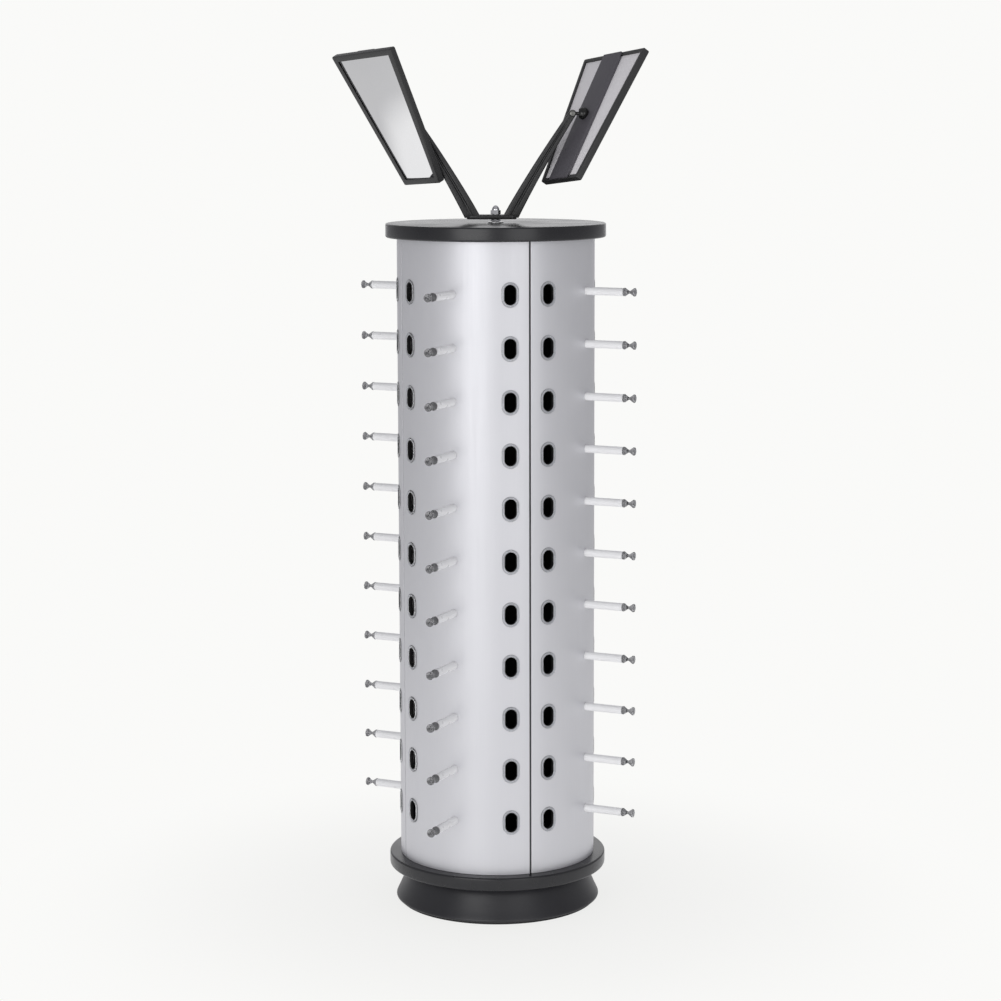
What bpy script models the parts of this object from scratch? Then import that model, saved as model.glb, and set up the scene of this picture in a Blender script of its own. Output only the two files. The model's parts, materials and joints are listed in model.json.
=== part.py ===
"""Revolving eyewear display rack with two tilting mirrors, modelled as it comes apart on a bench.

A round foot stands on an anti-slip pad and carries a turntable bearing. Four curved aluminium panels
turn on that bearing: T-strips join them, and a long tie rod clamps them between a lower flange and a top
plate. Each panel has eleven pegs and two columns of oval holes. On top, a V-shaped bracket holds two
mirrors, each on a ball knuckle.

Metres, +Z up. The origin is the middle of the foot's underside, on the turning axis.
"""
import math

import bmesh
import bpy
from mathutils import Matrix, Vector

# Heights, from the floor up
PAD_THICKNESS = 0.003
DECK_TOP = 0.034
FOOT_TOP = 0.038
FLANGE_BOTTOM = 0.042
FLANGE_TOP = 0.0575
PLATE_BOTTOM = 0.778
PLATE_TOP = 0.794
BRACKET_BOTTOM = 0.7983

# Radii about the turning axis
PAD_RADIUS = 0.115
FOOT_RADIUS = 0.119
FOOT_NECK_RADIUS = 0.105
DECK_HOLE_RADIUS = 0.020
FLANGE_RADIUS = 0.1265
FLANGE_RECESS_RADIUS = 0.098
PLATE_RADIUS = 0.1265
COLUMN_RADIUS = 0.1135
SPIGOT_RADIUS = 0.1076
SPIGOT_INNER_RADIUS = 0.1040
ROD_RADIUS = 0.003

GAP = 0.0003
MERGE = 0.00001
WALL = 0.003
PLATE_WEB = 0.005
SPIGOT_DEPTH = 0.008

# Column panels, their T-strips, holes and pegs
PANEL_COUNT = 4
PANEL_THICKNESS = 0.0018
SEAM_WIDTH = 0.0018
SEAM_ANGLE = math.radians(19.5)
QUARTER = math.tau / PANEL_COUNT
PANEL_STEPS = 9
ROW_COUNT = 11
ROW_PITCH = 0.060
TOP_ROW = 0.719
HOLE_ANGLE = math.radians(11.45)
HOLE_WIDTH = 0.0128
HOLE_HEIGHT = 0.0218
HOLE_SEGMENTS = 8
PEG_LENGTH = 0.060
PEG_RADIUS = 0.0045
PEG_SEGMENTS = 6
PEG_HOLE_SEGMENTS = 8
PUNCH_DEPTH = 0.012
SPOOL_LENGTH = 0.014
SPOOL_RADIUS = 0.0048
SPOOL_WAIST = 0.0018
STRIP_WIDTH = 0.014
STRIP_MARGIN = 0.015
STRIP_BACK = 0.1085
STRIP_FRONT = 0.1105
JOINER_WIDTH = 0.016
JOINER_BACK = 0.1080
JOINER_RIB = 0.0011
JOINER_RIB_FRONT = 0.1130

# Turntable bearing
RACE_RADIUS = 0.050
RACE_DEPTH = 0.0008
RACE_HALF_WIDTH = 0.0025
BALL_COUNT = 6
BALL_RADIUS = 0.003
RING_INNER_RADIUS = 0.030
RING_OUTER_RADIUS = 0.068
RING_THICKNESS = 0.002
RING_BOTTOM = DECK_TOP + GAP
RACE_FLOOR = RING_BOTTOM + RING_THICKNESS - RACE_DEPTH
BALL_HEIGHT = RACE_FLOOR + GAP + BALL_RADIUS
UPPER_RING_BOTTOM = BALL_HEIGHT + BALL_RADIUS + GAP - RACE_DEPTH
WEB_BOTTOM = UPPER_RING_BOTTOM + RING_THICKNESS + GAP
WEB_TOP = WEB_BOTTOM + PLATE_WEB
CAGE_HALF_WIDTH = 0.0055
CAGE_THICKNESS = 0.0016
LOWER_SCREW_RADIUS = 0.062
UPPER_SCREW_RADIUS = 0.038
SCREW_COUNT = 4
SCREW_SEGMENTS = 8
SCREW_SHANK = 0.0017
SCREW_HEAD = 0.0032
SCREW_HEAD_HEIGHT = 0.0017
BEARING_SCREW_LENGTH = 0.0085
DRILL_LENGTH = 0.020

# Tie rod fastenings
NUT_RADIUS = 0.0058
NUT_SIDES = 6
WASHER_RADIUS = 0.009
WASHER_THICKNESS = 0.001
ROD_CLEARANCE = 0.0035
ROD_BOTTOM = 0.0350
ROD_TOP = 0.8102
LOW_NUT_HEIGHT = 0.0050
TOP_NUT_HEIGHT = 0.0024

# Mirror bracket, seen from the front as a V; x is measured from the middle of its foot plate
BRACKET_SHIFT = -0.0046
BRACKET_PLATE_HALF = 0.0325
BRACKET_CORNER = 0.0065
BRACKET_PLATE_HEIGHT = 0.005
BRACKET_PLATE_DEPTH = 0.024
ARM_FOOT = Vector((0.0233, 0.8033))
ARM_ELBOW = Vector((0.0559, 0.8603))
ARM_TIP = Vector((0.0925, 0.9180))
ARM_FOOT_HALF = 0.0083
ARM_TIP_HALF = 0.0042
ARM_DEPTH = 0.010
ARM_STEPS = 5
GROOVE_SHARE = 0.30
GROOVE_DEPTH = 0.002

# Ball knuckle between an arm's forked end and a mirror
BALL_REACH = 0.0120
KNUCKLE_BALL_RADIUS = 0.0046
STUD_RADIUS = 0.0019
LUG_RADIUS = 0.0042
LUG_THICKNESS = 0.004
PIVOT_HOLE = 0.0019
PIVOT_SHANK = 0.0015
PIVOT_HEAD = 0.0036
PIVOT_HEAD_HEIGHT = 0.0016
PIVOT_PROUD = 0.0012

# Mirror, in its own frame: origin at the ball, x across, y out of the back, z up the glass
MIRROR_HEIGHT = 0.1680
MIRROR_TOP_WIDTH = 0.118
MIRROR_BOTTOM_WIDTH = 0.070
MIRROR_PLANE = -0.0095
MIRROR_DEPTH = 0.008
FRAME_BAR = 0.007
FRAME_REBATE = 0.0025
FRAME_LIP = 0.001
GLASS_THICKNESS = 0.003
BACKING_THICKNESS = 0.0016
STRAP_WIDTH = 0.034
STRAP_PROUD = 0.0025
STRAP_OVERHANG = 0.0010
SOCKET_RADIUS = 0.0070
MOUTH_HALF_ANGLE = math.radians(46)
LEFT_AIM = (-51.3, 27.8, -3.8)
RIGHT_AIM = (120.4, 31.5, 6.6)

DISC_SEGMENTS = 32
RING_SEGMENTS = 24
SMALL_SEGMENTS = 12
BALL_SEGMENTS = 10
BALL_RINGS = 7


# ---------------------------------------------------------------- scene, materials and helpers

def clear_scene():
    for item in list(bpy.data.objects):
        bpy.data.objects.remove(item, do_unlink=True)


def new_collection(name):
    collection = bpy.data.collections.new(name)
    bpy.context.scene.collection.children.link(collection)
    return collection


def new_material(name, color, roughness, metallic=0.0, alpha=1.0):
    material = bpy.data.materials.new(name)
    material.use_nodes = True
    shader = material.node_tree.nodes["Principled BSDF"]
    shader.inputs["Base Color"].default_value = (*color, 1.0)
    shader.inputs["Roughness"].default_value = roughness
    shader.inputs["Metallic"].default_value = metallic
    shader.inputs["Alpha"].default_value = alpha
    return material


def add_object(name, mesh, collection, material=None, matrix=None, parent=None):
    """Put a mesh in a collection as a named object, smooth on its round faces."""
    item = bpy.data.objects.new(name, mesh)
    collection.objects.link(item)
    if material:
        mesh.materials.append(material)
    if parent:
        item.parent = parent
    if matrix:
        item.matrix_basis = matrix
    mesh.shade_smooth()
    mesh.set_sharp_from_angle(angle=math.radians(30))
    return item


def add_pivot(name, location, matrix=None):
    """An empty on a joint's axis, which carries the pieces that turn there."""
    empty = bpy.data.objects.new(name, None)
    rack.objects.link(empty)
    empty.empty_display_size = 0.02
    empty.matrix_basis = Matrix.Translation(location) @ (matrix or Matrix())
    return empty


def hide_cutter(item):
    item.display_type = "WIRE"
    item.hide_render = True
    return item


def add_boolean(item, other, operation="DIFFERENCE"):
    modifier = item.modifiers.new(operation.lower(), "BOOLEAN")
    modifier.object = other
    modifier.operation = operation
    modifier.solver = "EXACT"


def evaluated_mesh(name, data, modify=None):
    """The closed mesh that a curve, or a mesh with the modifiers that modify gives it, ends up as."""
    holder = bpy.data.objects.new(name, data)
    bpy.context.scene.collection.objects.link(holder)
    if modify:
        modify(holder)
    bpy.context.view_layer.update()
    mesh = bpy.data.meshes.new_from_object(holder.evaluated_get(bpy.context.evaluated_depsgraph_get()))
    bpy.data.objects.remove(holder, do_unlink=True)
    work = bmesh.new()
    work.from_mesh(mesh)
    bmesh.ops.remove_doubles(work, verts=work.verts, dist=MERGE)
    bmesh.ops.dissolve_limit(work, angle_limit=0.001, verts=work.verts, edges=work.edges)
    bmesh.ops.recalc_face_normals(work, faces=work.faces)
    work.to_mesh(mesh)
    work.free()
    mesh.name = name
    return mesh


def turned_mesh(name, profile, segments):
    """A solid turned about Z from a closed outline of (radius, height), listed outer side downwards.

    Points on the axis close the solid there.
    """
    corners = [(radius, 0.0, height) for radius, height in profile]
    edges = [(index, index + 1) for index in range(len(profile) - 1)]
    if profile[0][0] > 0.0:
        edges.append((len(profile) - 1, 0))
    line = bpy.data.meshes.new(name + "_outline")
    line.from_pydata(corners, edges, [])

    def sweep_round(holder):
        turn = holder.modifiers.new("turn", "SCREW")
        turn.steps = segments
        turn.render_steps = segments
        turn.use_merge_vertices = True
        turn.merge_threshold = MERGE

    return evaluated_mesh(name, line, sweep_round)


def ring_profile(inner, outer, low, high):
    return [(inner, high), (outer, high), (outer, low), (inner, low)]


def rod_profile(radius, low, high):
    return [(0.0, high), (radius, high), (radius, low), (0.0, low)]


def outline_mesh(name, outlines, thickness):
    """A flat plate in its own XY plane from closed outlines, the inner ones being its holes."""
    curve = bpy.data.curves.new(name + "_outline", "CURVE")
    curve.dimensions = "2D"
    curve.fill_mode = "BOTH"
    curve.extrude = thickness / 2
    for outline in outlines:
        spline = curve.splines.new("POLY")
        spline.points.add(len(outline) - 1)
        for point, (across, along) in zip(spline.points, outline):
            point.co = (across, along, 0.0, 1.0)
        spline.use_cyclic_u = True
    return evaluated_mesh(name, curve)


def upright(mesh):
    """Stand a flat plate up: its own Y becomes Z and its thickness lies along Y."""
    mesh.transform(Matrix.Rotation(math.pi / 2, 4, "X"))
    return mesh


def box_mesh(name, low, high):
    work = bmesh.new()
    size = [top - bottom for bottom, top in zip(low, high)]
    middle = [(top + bottom) / 2 for bottom, top in zip(low, high)]
    place = Matrix.Translation(middle) @ Matrix.Diagonal((*size, 1.0))
    bmesh.ops.create_cube(work, size=1.0, matrix=place)
    mesh = bpy.data.meshes.new(name)
    work.to_mesh(mesh)
    work.free()
    return mesh


def cylinder_mesh(name, radius, depth, matrices, segments):
    """One mesh with a cylinder of this size at each matrix, along its Z."""
    work = bmesh.new()
    for matrix in matrices:
        bmesh.ops.create_cone(work, cap_ends=True, segments=segments, radius1=radius, radius2=radius,
                              depth=depth, matrix=matrix)
    mesh = bpy.data.meshes.new(name)
    work.to_mesh(mesh)
    work.free()
    return mesh


def around(count, radius, height, offset=0.0):
    """Matrices for pieces spaced evenly on a circle, each turned to face outwards along its X."""
    for index in range(count):
        turn = Matrix.Rotation(offset + math.tau * index / count, 4, "Z")
        yield turn @ Matrix.Translation((radius, 0.0, height))


def facing(angle):
    """A turn that carries +X to the direction at this angle, counted from -Y towards +X."""
    return Matrix.Rotation(angle - math.pi / 2, 4, "Z")


# ---------------------------------------------------------------- foot and turntable bearing

def screw_mesh(name, length, head_radius=SCREW_HEAD, head_height=SCREW_HEAD_HEIGHT, shank=SCREW_SHANK):
    """A pan-head screw, its head's seat at the origin and its shank pointing down."""
    profile = [(0.0, head_height), (head_radius * 0.7, head_height), (head_radius, head_height * 0.45),
               (head_radius, 0.0), (shank, 0.0), (shank, -length), (0.0, -length)]
    return turned_mesh(name, profile, SCREW_SEGMENTS)


def build_foot():
    add_object("base_pad", turned_mesh("base_pad", rod_profile(PAD_RADIUS, 0.0, PAD_THICKNESS),
                                       DISC_SEGMENTS), rack, rubber)
    low = PAD_THICKNESS + GAP
    deck_edge = FOOT_NECK_RADIUS - 0.012
    under_deck = DECK_TOP - WALL
    flare = [(FOOT_NECK_RADIUS + 0.0028, 0.031), (FOOT_NECK_RADIUS + 0.0065, 0.022),
             (FOOT_NECK_RADIUS + 0.0100, 0.014), (FOOT_NECK_RADIUS + 0.0128, 0.008),
             (FOOT_RADIUS, low + 0.002)]
    outline = [
        (deck_edge, FOOT_TOP), (FOOT_NECK_RADIUS, FOOT_TOP), *flare, (FOOT_RADIUS - 0.0008, low),
        (FOOT_RADIUS - 0.0042, low), (FOOT_RADIUS - 0.0075, 0.012), (FOOT_NECK_RADIUS - 0.0020, under_deck),
        (DECK_HOLE_RADIUS, under_deck), (DECK_HOLE_RADIUS, DECK_TOP), (deck_edge, DECK_TOP)]
    foot = add_object("base_shell", turned_mesh("base_shell", outline, DISC_SEGMENTS), rack,
                      black_plastic)
    holes = cylinder_mesh("foot_screw_holes", SCREW_SHANK + GAP, DRILL_LENGTH,
                          around(SCREW_COUNT, LOWER_SCREW_RADIUS, DECK_TOP), SCREW_SEGMENTS)
    add_boolean(foot, hide_cutter(add_object("foot_screw_holes", holes, cutters)))


def bearing_ring(name, low, race_up, screw_circle, offset):
    """A pressed steel ring with a ball groove on one face and four screw holes."""
    high = low + RING_THICKNESS
    face = high if race_up else low
    groove = face - RACE_DEPTH if race_up else face + RACE_DEPTH
    race = [(RACE_RADIUS - RACE_HALF_WIDTH, face), (RACE_RADIUS, groove),
            (RACE_RADIUS + RACE_HALF_WIDTH, face)]
    top = race if race_up else []
    bottom = [] if race_up else race[::-1]
    outline = [(RING_INNER_RADIUS, high), *top, (RING_OUTER_RADIUS, high), (RING_OUTER_RADIUS, low),
               *bottom, (RING_INNER_RADIUS, low)]
    ring = add_object(name, turned_mesh(name, outline, RING_SEGMENTS), rack, zinc_steel)
    holes = cylinder_mesh(name + "_holes", SCREW_SHANK + GAP, DRILL_LENGTH,
                          around(SCREW_COUNT, screw_circle, low, offset), SCREW_SEGMENTS)
    add_boolean(ring, hide_cutter(add_object(name + "_holes", holes, cutters)))


def build_bearing():
    bearing_ring("bearing_lower_ring", RING_BOTTOM, True, LOWER_SCREW_RADIUS, 0.0)
    bearing_ring("bearing_upper_ring", UPPER_RING_BOTTOM, False, UPPER_SCREW_RADIUS, math.pi / 4)
    cage = add_object("bearing_cage", turned_mesh("bearing_cage", ring_profile(
        RACE_RADIUS - CAGE_HALF_WIDTH, RACE_RADIUS + CAGE_HALF_WIDTH, BALL_HEIGHT - CAGE_THICKNESS / 2,
        BALL_HEIGHT + CAGE_THICKNESS / 2), RING_SEGMENTS), rack, zinc_steel)
    pockets = cylinder_mesh("cage_pockets", BALL_RADIUS + 2 * GAP, DRILL_LENGTH,
                            around(BALL_COUNT, RACE_RADIUS, BALL_HEIGHT), SMALL_SEGMENTS)
    add_boolean(cage, hide_cutter(add_object("cage_pockets", pockets, cutters)))
    ball = bpy.data.meshes.new("bearing_ball")
    work = bmesh.new()
    bmesh.ops.create_icosphere(work, subdivisions=2, radius=BALL_RADIUS)
    work.to_mesh(ball)
    work.free()
    ball.materials.append(zinc_steel)
    for index, matrix in enumerate(around(BALL_COUNT, RACE_RADIUS, BALL_HEIGHT), 1):
        add_object(f"bearing_ball_{index}", ball, rack, matrix=matrix)
    screw = screw_mesh("bearing_screw", BEARING_SCREW_LENGTH)
    screw.materials.append(zinc_steel)
    seat = RING_BOTTOM + RING_THICKNESS + GAP / 2
    for index, matrix in enumerate(around(SCREW_COUNT, LOWER_SCREW_RADIUS, seat), 1):
        add_object(f"lower_ring_screw_{index}", screw, rack, matrix=matrix)
    seat = UPPER_RING_BOTTOM - GAP / 2
    for index, matrix in enumerate(around(SCREW_COUNT, UPPER_SCREW_RADIUS, seat, math.pi / 4), 1):
        upside_down = matrix @ Matrix.Rotation(math.pi, 4, "X")
        add_object(f"upper_ring_screw_{index}", screw, rack, matrix=upside_down)


# ---------------------------------------------------------------- turning column

def build_flange():
    """Black flange under the panels, with a spigot that centres them and a web bolted to the bearing."""
    upper_edge = [(FLANGE_RADIUS - 0.002, FLANGE_TOP), (FLANGE_RADIUS, FLANGE_TOP - 0.002)]
    lower_edge = [(FLANGE_RADIUS, FLANGE_BOTTOM + 0.003), (FLANGE_RADIUS - 0.003, FLANGE_BOTTOM)]
    outline = [
        (SPIGOT_INNER_RADIUS, FLANGE_TOP + SPIGOT_DEPTH), (SPIGOT_RADIUS, FLANGE_TOP + SPIGOT_DEPTH),
        (SPIGOT_RADIUS, FLANGE_TOP), *upper_edge, *lower_edge,
        (FLANGE_RECESS_RADIUS, FLANGE_BOTTOM), (FLANGE_RECESS_RADIUS, WEB_BOTTOM),
        (ROD_CLEARANCE, WEB_BOTTOM), (ROD_CLEARANCE, WEB_TOP), (SPIGOT_INNER_RADIUS, WEB_TOP)]
    flange = add_object("lower_flange", turned_mesh("lower_flange", outline, DISC_SEGMENTS), rack,
                        black_plastic)
    holes = cylinder_mesh("flange_screw_holes", SCREW_SHANK + GAP, DRILL_LENGTH,
                          around(SCREW_COUNT, UPPER_SCREW_RADIUS, WEB_TOP, math.pi / 4), SCREW_SEGMENTS)
    add_boolean(flange, hide_cutter(add_object("flange_screw_holes", holes, cutters)))


def build_top_plate():
    web = PLATE_TOP - PLATE_WEB
    upper_edge = [(PLATE_RADIUS - 0.0015, PLATE_TOP), (PLATE_RADIUS, PLATE_TOP - 0.0015)]
    lower_edge = [(PLATE_RADIUS, PLATE_BOTTOM + 0.002), (PLATE_RADIUS - 0.002, PLATE_BOTTOM)]
    outline = [
        (ROD_CLEARANCE, PLATE_TOP), *upper_edge, *lower_edge, (SPIGOT_RADIUS, PLATE_BOTTOM),
        (SPIGOT_RADIUS, PLATE_BOTTOM - SPIGOT_DEPTH), (SPIGOT_INNER_RADIUS, PLATE_BOTTOM - SPIGOT_DEPTH),
        (SPIGOT_INNER_RADIUS, web), (ROD_CLEARANCE, web)]
    add_object("top_plate", turned_mesh("top_plate", outline, DISC_SEGMENTS), rack, black_plastic)


def slot_cutters(work, angle):
    """Eleven upright oval cutters in one column of holes: round cutters, pulled apart at the middle."""
    half_straight = (HOLE_HEIGHT - HOLE_WIDTH) / 2
    corner_radius = HOLE_WIDTH / 2 / math.cos(math.pi / HOLE_SEGMENTS)
    outwards = facing(angle) @ Matrix.Translation((COLUMN_RADIUS, 0.0, 0.0))
    lie_down = Matrix.Rotation(math.pi / 2, 4, "Y") @ Matrix.Rotation(math.pi / HOLE_SEGMENTS, 4, "Z")
    for row in range(ROW_COUNT):
        made = bmesh.ops.create_cone(work, cap_ends=True, segments=HOLE_SEGMENTS, radius1=corner_radius,
                                     radius2=corner_radius, depth=PUNCH_DEPTH, matrix=lie_down)
        for corner in made["verts"]:
            corner.co.z += math.copysign(half_straight, corner.co.z) + TOP_ROW - row * ROW_PITCH
        bmesh.ops.transform(work, matrix=outwards, verts=made["verts"])


def panel_cutter(index):
    """Everything that is punched out of one panel: two columns of ovals and one of peg holes."""
    seam = SEAM_ANGLE + QUARTER * index
    work = bmesh.new()
    slot_cutters(work, seam + HOLE_ANGLE)
    slot_cutters(work, seam + QUARTER - HOLE_ANGLE)
    peg_hole = PEG_RADIUS + 2 * GAP
    for matrix in peg_places(index, COLUMN_RADIUS):
        bmesh.ops.create_cone(work, cap_ends=True, segments=PEG_HOLE_SEGMENTS, radius1=peg_hole,
                              radius2=peg_hole, depth=PUNCH_DEPTH, matrix=matrix)
    mesh = bpy.data.meshes.new(f"panel_{index + 1}_holes")
    work.to_mesh(mesh)
    work.free()
    return hide_cutter(add_object(mesh.name, mesh, cutters))


def peg_places(index, radius):
    """Matrices at this radius on one panel's eleven peg axes, with +Z pointing out of the panel."""
    outwards = facing(SEAM_ANGLE + QUARTER * (index + 0.5))
    for row in range(ROW_COUNT):
        place = Matrix.Translation((radius, 0.0, TOP_ROW - row * ROW_PITCH))
        yield outwards @ place @ Matrix.Rotation(math.pi / 2, 4, "Y")


def build_panel(index):
    """A quarter of the column: an upright line swept round by Screw, given its sheet thickness."""
    margin = SEAM_WIDTH / 2 / COLUMN_RADIUS
    start = SEAM_ANGLE + QUARTER * index + margin
    work = bmesh.new()
    top = work.verts.new((COLUMN_RADIUS, 0.0, PLATE_BOTTOM - GAP))
    bottom = work.verts.new((COLUMN_RADIUS, 0.0, FLANGE_TOP + GAP))
    work.edges.new((top, bottom))
    mesh = bpy.data.meshes.new(f"panel_{index + 1}")
    work.to_mesh(mesh)
    work.free()
    panel = add_object(mesh.name, mesh, rack, aluminium, matrix=facing(start))
    sweep = panel.modifiers.new("sweep", "SCREW")
    sweep.angle = QUARTER - 2 * margin
    sweep.steps = PANEL_STEPS
    sweep.render_steps = PANEL_STEPS
    sweep.use_smooth_shade = True
    sheet = panel.modifiers.new("sheet", "SOLIDIFY")
    sheet.thickness = PANEL_THICKNESS
    sheet.offset = -1.0
    add_boolean(panel, panel_cutter(index))


def build_joiner(index):
    """A T-strip behind a seam; its rib fills the slit between two panels."""
    half = JOINER_WIDTH / 2
    rib = JOINER_RIB / 2
    outline = [(JOINER_BACK, -half), (STRIP_FRONT - GAP, -half), (STRIP_FRONT - GAP, -rib),
               (JOINER_RIB_FRONT, -rib), (JOINER_RIB_FRONT, rib), (STRIP_FRONT - GAP, rib),
               (STRIP_FRONT - GAP, half), (JOINER_BACK, half)]
    low = FLANGE_TOP + GAP
    high = PLATE_BOTTOM - GAP
    mesh = outline_mesh(f"panel_joiner_{index + 1}", [outline], high - low)
    place = facing(SEAM_ANGLE + QUARTER * index) @ Matrix.Translation((0.0, 0.0, (low + high) / 2))
    add_object(mesh.name, mesh, rack, black_plastic, matrix=place)


def peg_profile():
    """A peg from its foot in the strip to its hourglass tip, as (radius, distance), tip first."""
    foot = STRIP_BACK + 0.0005
    tip = COLUMN_RADIUS + PEG_LENGTH
    neck = tip - SPOOL_LENGTH
    waist = tip - SPOOL_LENGTH / 2
    return [(0.0, tip), (SPOOL_RADIUS, tip), (SPOOL_WAIST, waist), (SPOOL_RADIUS, neck),
            (PEG_RADIUS, foot), (0.0, foot)]


def build_peg_strip(index):
    """Eleven pegs on the strip that holds them from inside the panel."""
    work = bmesh.new()
    peg = turned_mesh("peg", peg_profile(), PEG_SEGMENTS)
    for matrix in peg_places(index, 0.0):
        first = len(work.verts)
        work.from_mesh(peg)
        work.verts.ensure_lookup_table()
        bmesh.ops.transform(work, matrix=matrix, verts=work.verts[first:])
    pegs = bpy.data.meshes.new(f"pegs_{index + 1}")
    work.to_mesh(pegs)
    work.free()
    half = STRIP_WIDTH / 2
    high = TOP_ROW + STRIP_MARGIN
    low = TOP_ROW - (ROW_COUNT - 1) * ROW_PITCH - STRIP_MARGIN
    strip = box_mesh(f"peg_strip_{index + 1}", (STRIP_BACK, -half, low), (STRIP_FRONT, half, high))
    item = add_object(strip.name, strip, rack, clear_plastic,
                      matrix=facing(SEAM_ANGLE + QUARTER * (index + 0.5)))
    add_boolean(item, hide_cutter(add_object(pegs.name, pegs, cutters)), "UNION")


def build_tie_rod():
    """The threaded rod that clamps the column together, with its nuts and washers."""
    add_object("tie_rod", turned_mesh("tie_rod", rod_profile(ROD_RADIUS, ROD_BOTTOM, ROD_TOP),
                                      SMALL_SEGMENTS), rack, zinc_steel)
    washer = ring_profile(ROD_CLEARANCE, WASHER_RADIUS, 0.0, WASHER_THICKNESS)
    low_washer = WEB_BOTTOM - GAP - WASHER_THICKNESS
    top_washer = PLATE_TOP + GAP
    for name, height in (("lower_washer", low_washer), ("upper_washer", top_washer)):
        place = Matrix.Translation((0, 0, height))
        add_object(name, turned_mesh(name, washer, SMALL_SEGMENTS), rack, chrome, matrix=place)
    low_nut = low_washer - GAP - LOW_NUT_HEIGHT
    top_nut = top_washer + WASHER_THICKNESS + GAP / 2
    nuts = (("lower_nut", low_nut, LOW_NUT_HEIGHT), ("upper_nut", top_nut, TOP_NUT_HEIGHT))
    for name, height, size in nuts:
        nut = ring_profile(ROD_CLEARANCE, NUT_RADIUS, 0.0, size)
        place = Matrix.Translation((0, 0, height))
        add_object(name, turned_mesh(name, nut, NUT_SIDES), rack, chrome, matrix=place)
    build_cap_nut(BRACKET_BOTTOM + BRACKET_PLATE_HEIGHT + GAP)


def build_cap_nut(seat):
    """A hexagon with a dome on it and a blind hole from below for the rod's end."""
    hexagon = 0.005
    shoulder = hexagon - 0.001
    dome = [(0.0, 0.0104), (0.0022, 0.0101), (0.0040, 0.0086), (0.0047, 0.0066), (0.0048, shoulder)]
    hole = 0.0078
    profile = [*dome, (ROD_CLEARANCE, shoulder), (ROD_CLEARANCE, hole), (0.0, hole)]
    place = Matrix.Translation((0, 0, seat))
    skirt = turned_mesh("cap_nut", ring_profile(ROD_CLEARANCE, NUT_RADIUS, 0.0, hexagon), NUT_SIDES)
    nut = add_object("cap_nut", skirt, rack, chrome, matrix=place)
    top = add_object("cap_nut_dome", turned_mesh("cap_nut_dome", profile, SMALL_SEGMENTS), cutters,
                     matrix=place)
    add_boolean(nut, hide_cutter(top), "UNION")


# ---------------------------------------------------------------- mirror bracket and knuckles

def arm_point(share):
    """Middle of the right arm in its (x, z) plane: a parabola through foot, elbow and tip."""
    control = 2 * ARM_ELBOW - (ARM_FOOT + ARM_TIP) / 2
    away = 1 - share
    return away * away * ARM_FOOT + 2 * share * away * control + share * share * ARM_TIP


def arm_side(share, half_width, side):
    """A point beside the arm's middle line; side is +1 for its outer edge and -1 for its inner one."""
    step = arm_point(min(share + 0.01, 1.0)) - arm_point(max(share - 0.01, 0.0))
    across = Vector((step.y, -step.x)).normalized()
    return arm_point(share) + side * half_width * across


def arm_half_width(share):
    return ARM_FOOT_HALF + (ARM_TIP_HALF - ARM_FOOT_HALF) * share


def bracket_outline():
    """The V from the front: foot plate, both arms and their round tips."""
    right = [Vector((BRACKET_PLATE_HALF - BRACKET_CORNER, BRACKET_BOTTOM)),
             Vector((BRACKET_PLATE_HALF, BRACKET_BOTTOM + BRACKET_PLATE_HEIGHT * 0.9))]
    shares = [step / ARM_STEPS for step in range(1, ARM_STEPS + 1)]
    right += [arm_side(share, arm_half_width(share), 1) for share in shares]
    start = ARM_TIP - arm_point(0.98)
    heading = math.atan2(start.y, start.x)
    for step in (-1, 0, 1):
        angle = heading + step * math.radians(45)
        right.append(ARM_TIP + ARM_TIP_HALF * Vector((math.cos(angle), math.sin(angle))))
    right += [arm_side(share, arm_half_width(share), -1) for share in reversed(shares)]
    right.append(Vector((0.0135, BRACKET_BOTTOM + BRACKET_PLATE_HEIGHT)))
    left = [Vector((-point.x, point.y)) for point in reversed(right)]
    return [(point.x, point.y) for point in right + left]


def groove_outline(mirror):
    """A shallow groove that runs up the middle of an arm's face."""
    first, last = 0.10, 0.85
    shares = [first + (last - first) * step / ARM_STEPS for step in range(ARM_STEPS + 1)]
    outer = [arm_side(share, arm_half_width(share) * GROOVE_SHARE, 1) for share in shares]
    inner = [arm_side(share, arm_half_width(share) * GROOVE_SHARE, -1) for share in reversed(shares)]
    return [(mirror * point.x, point.y) for point in outer + inner]


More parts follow.
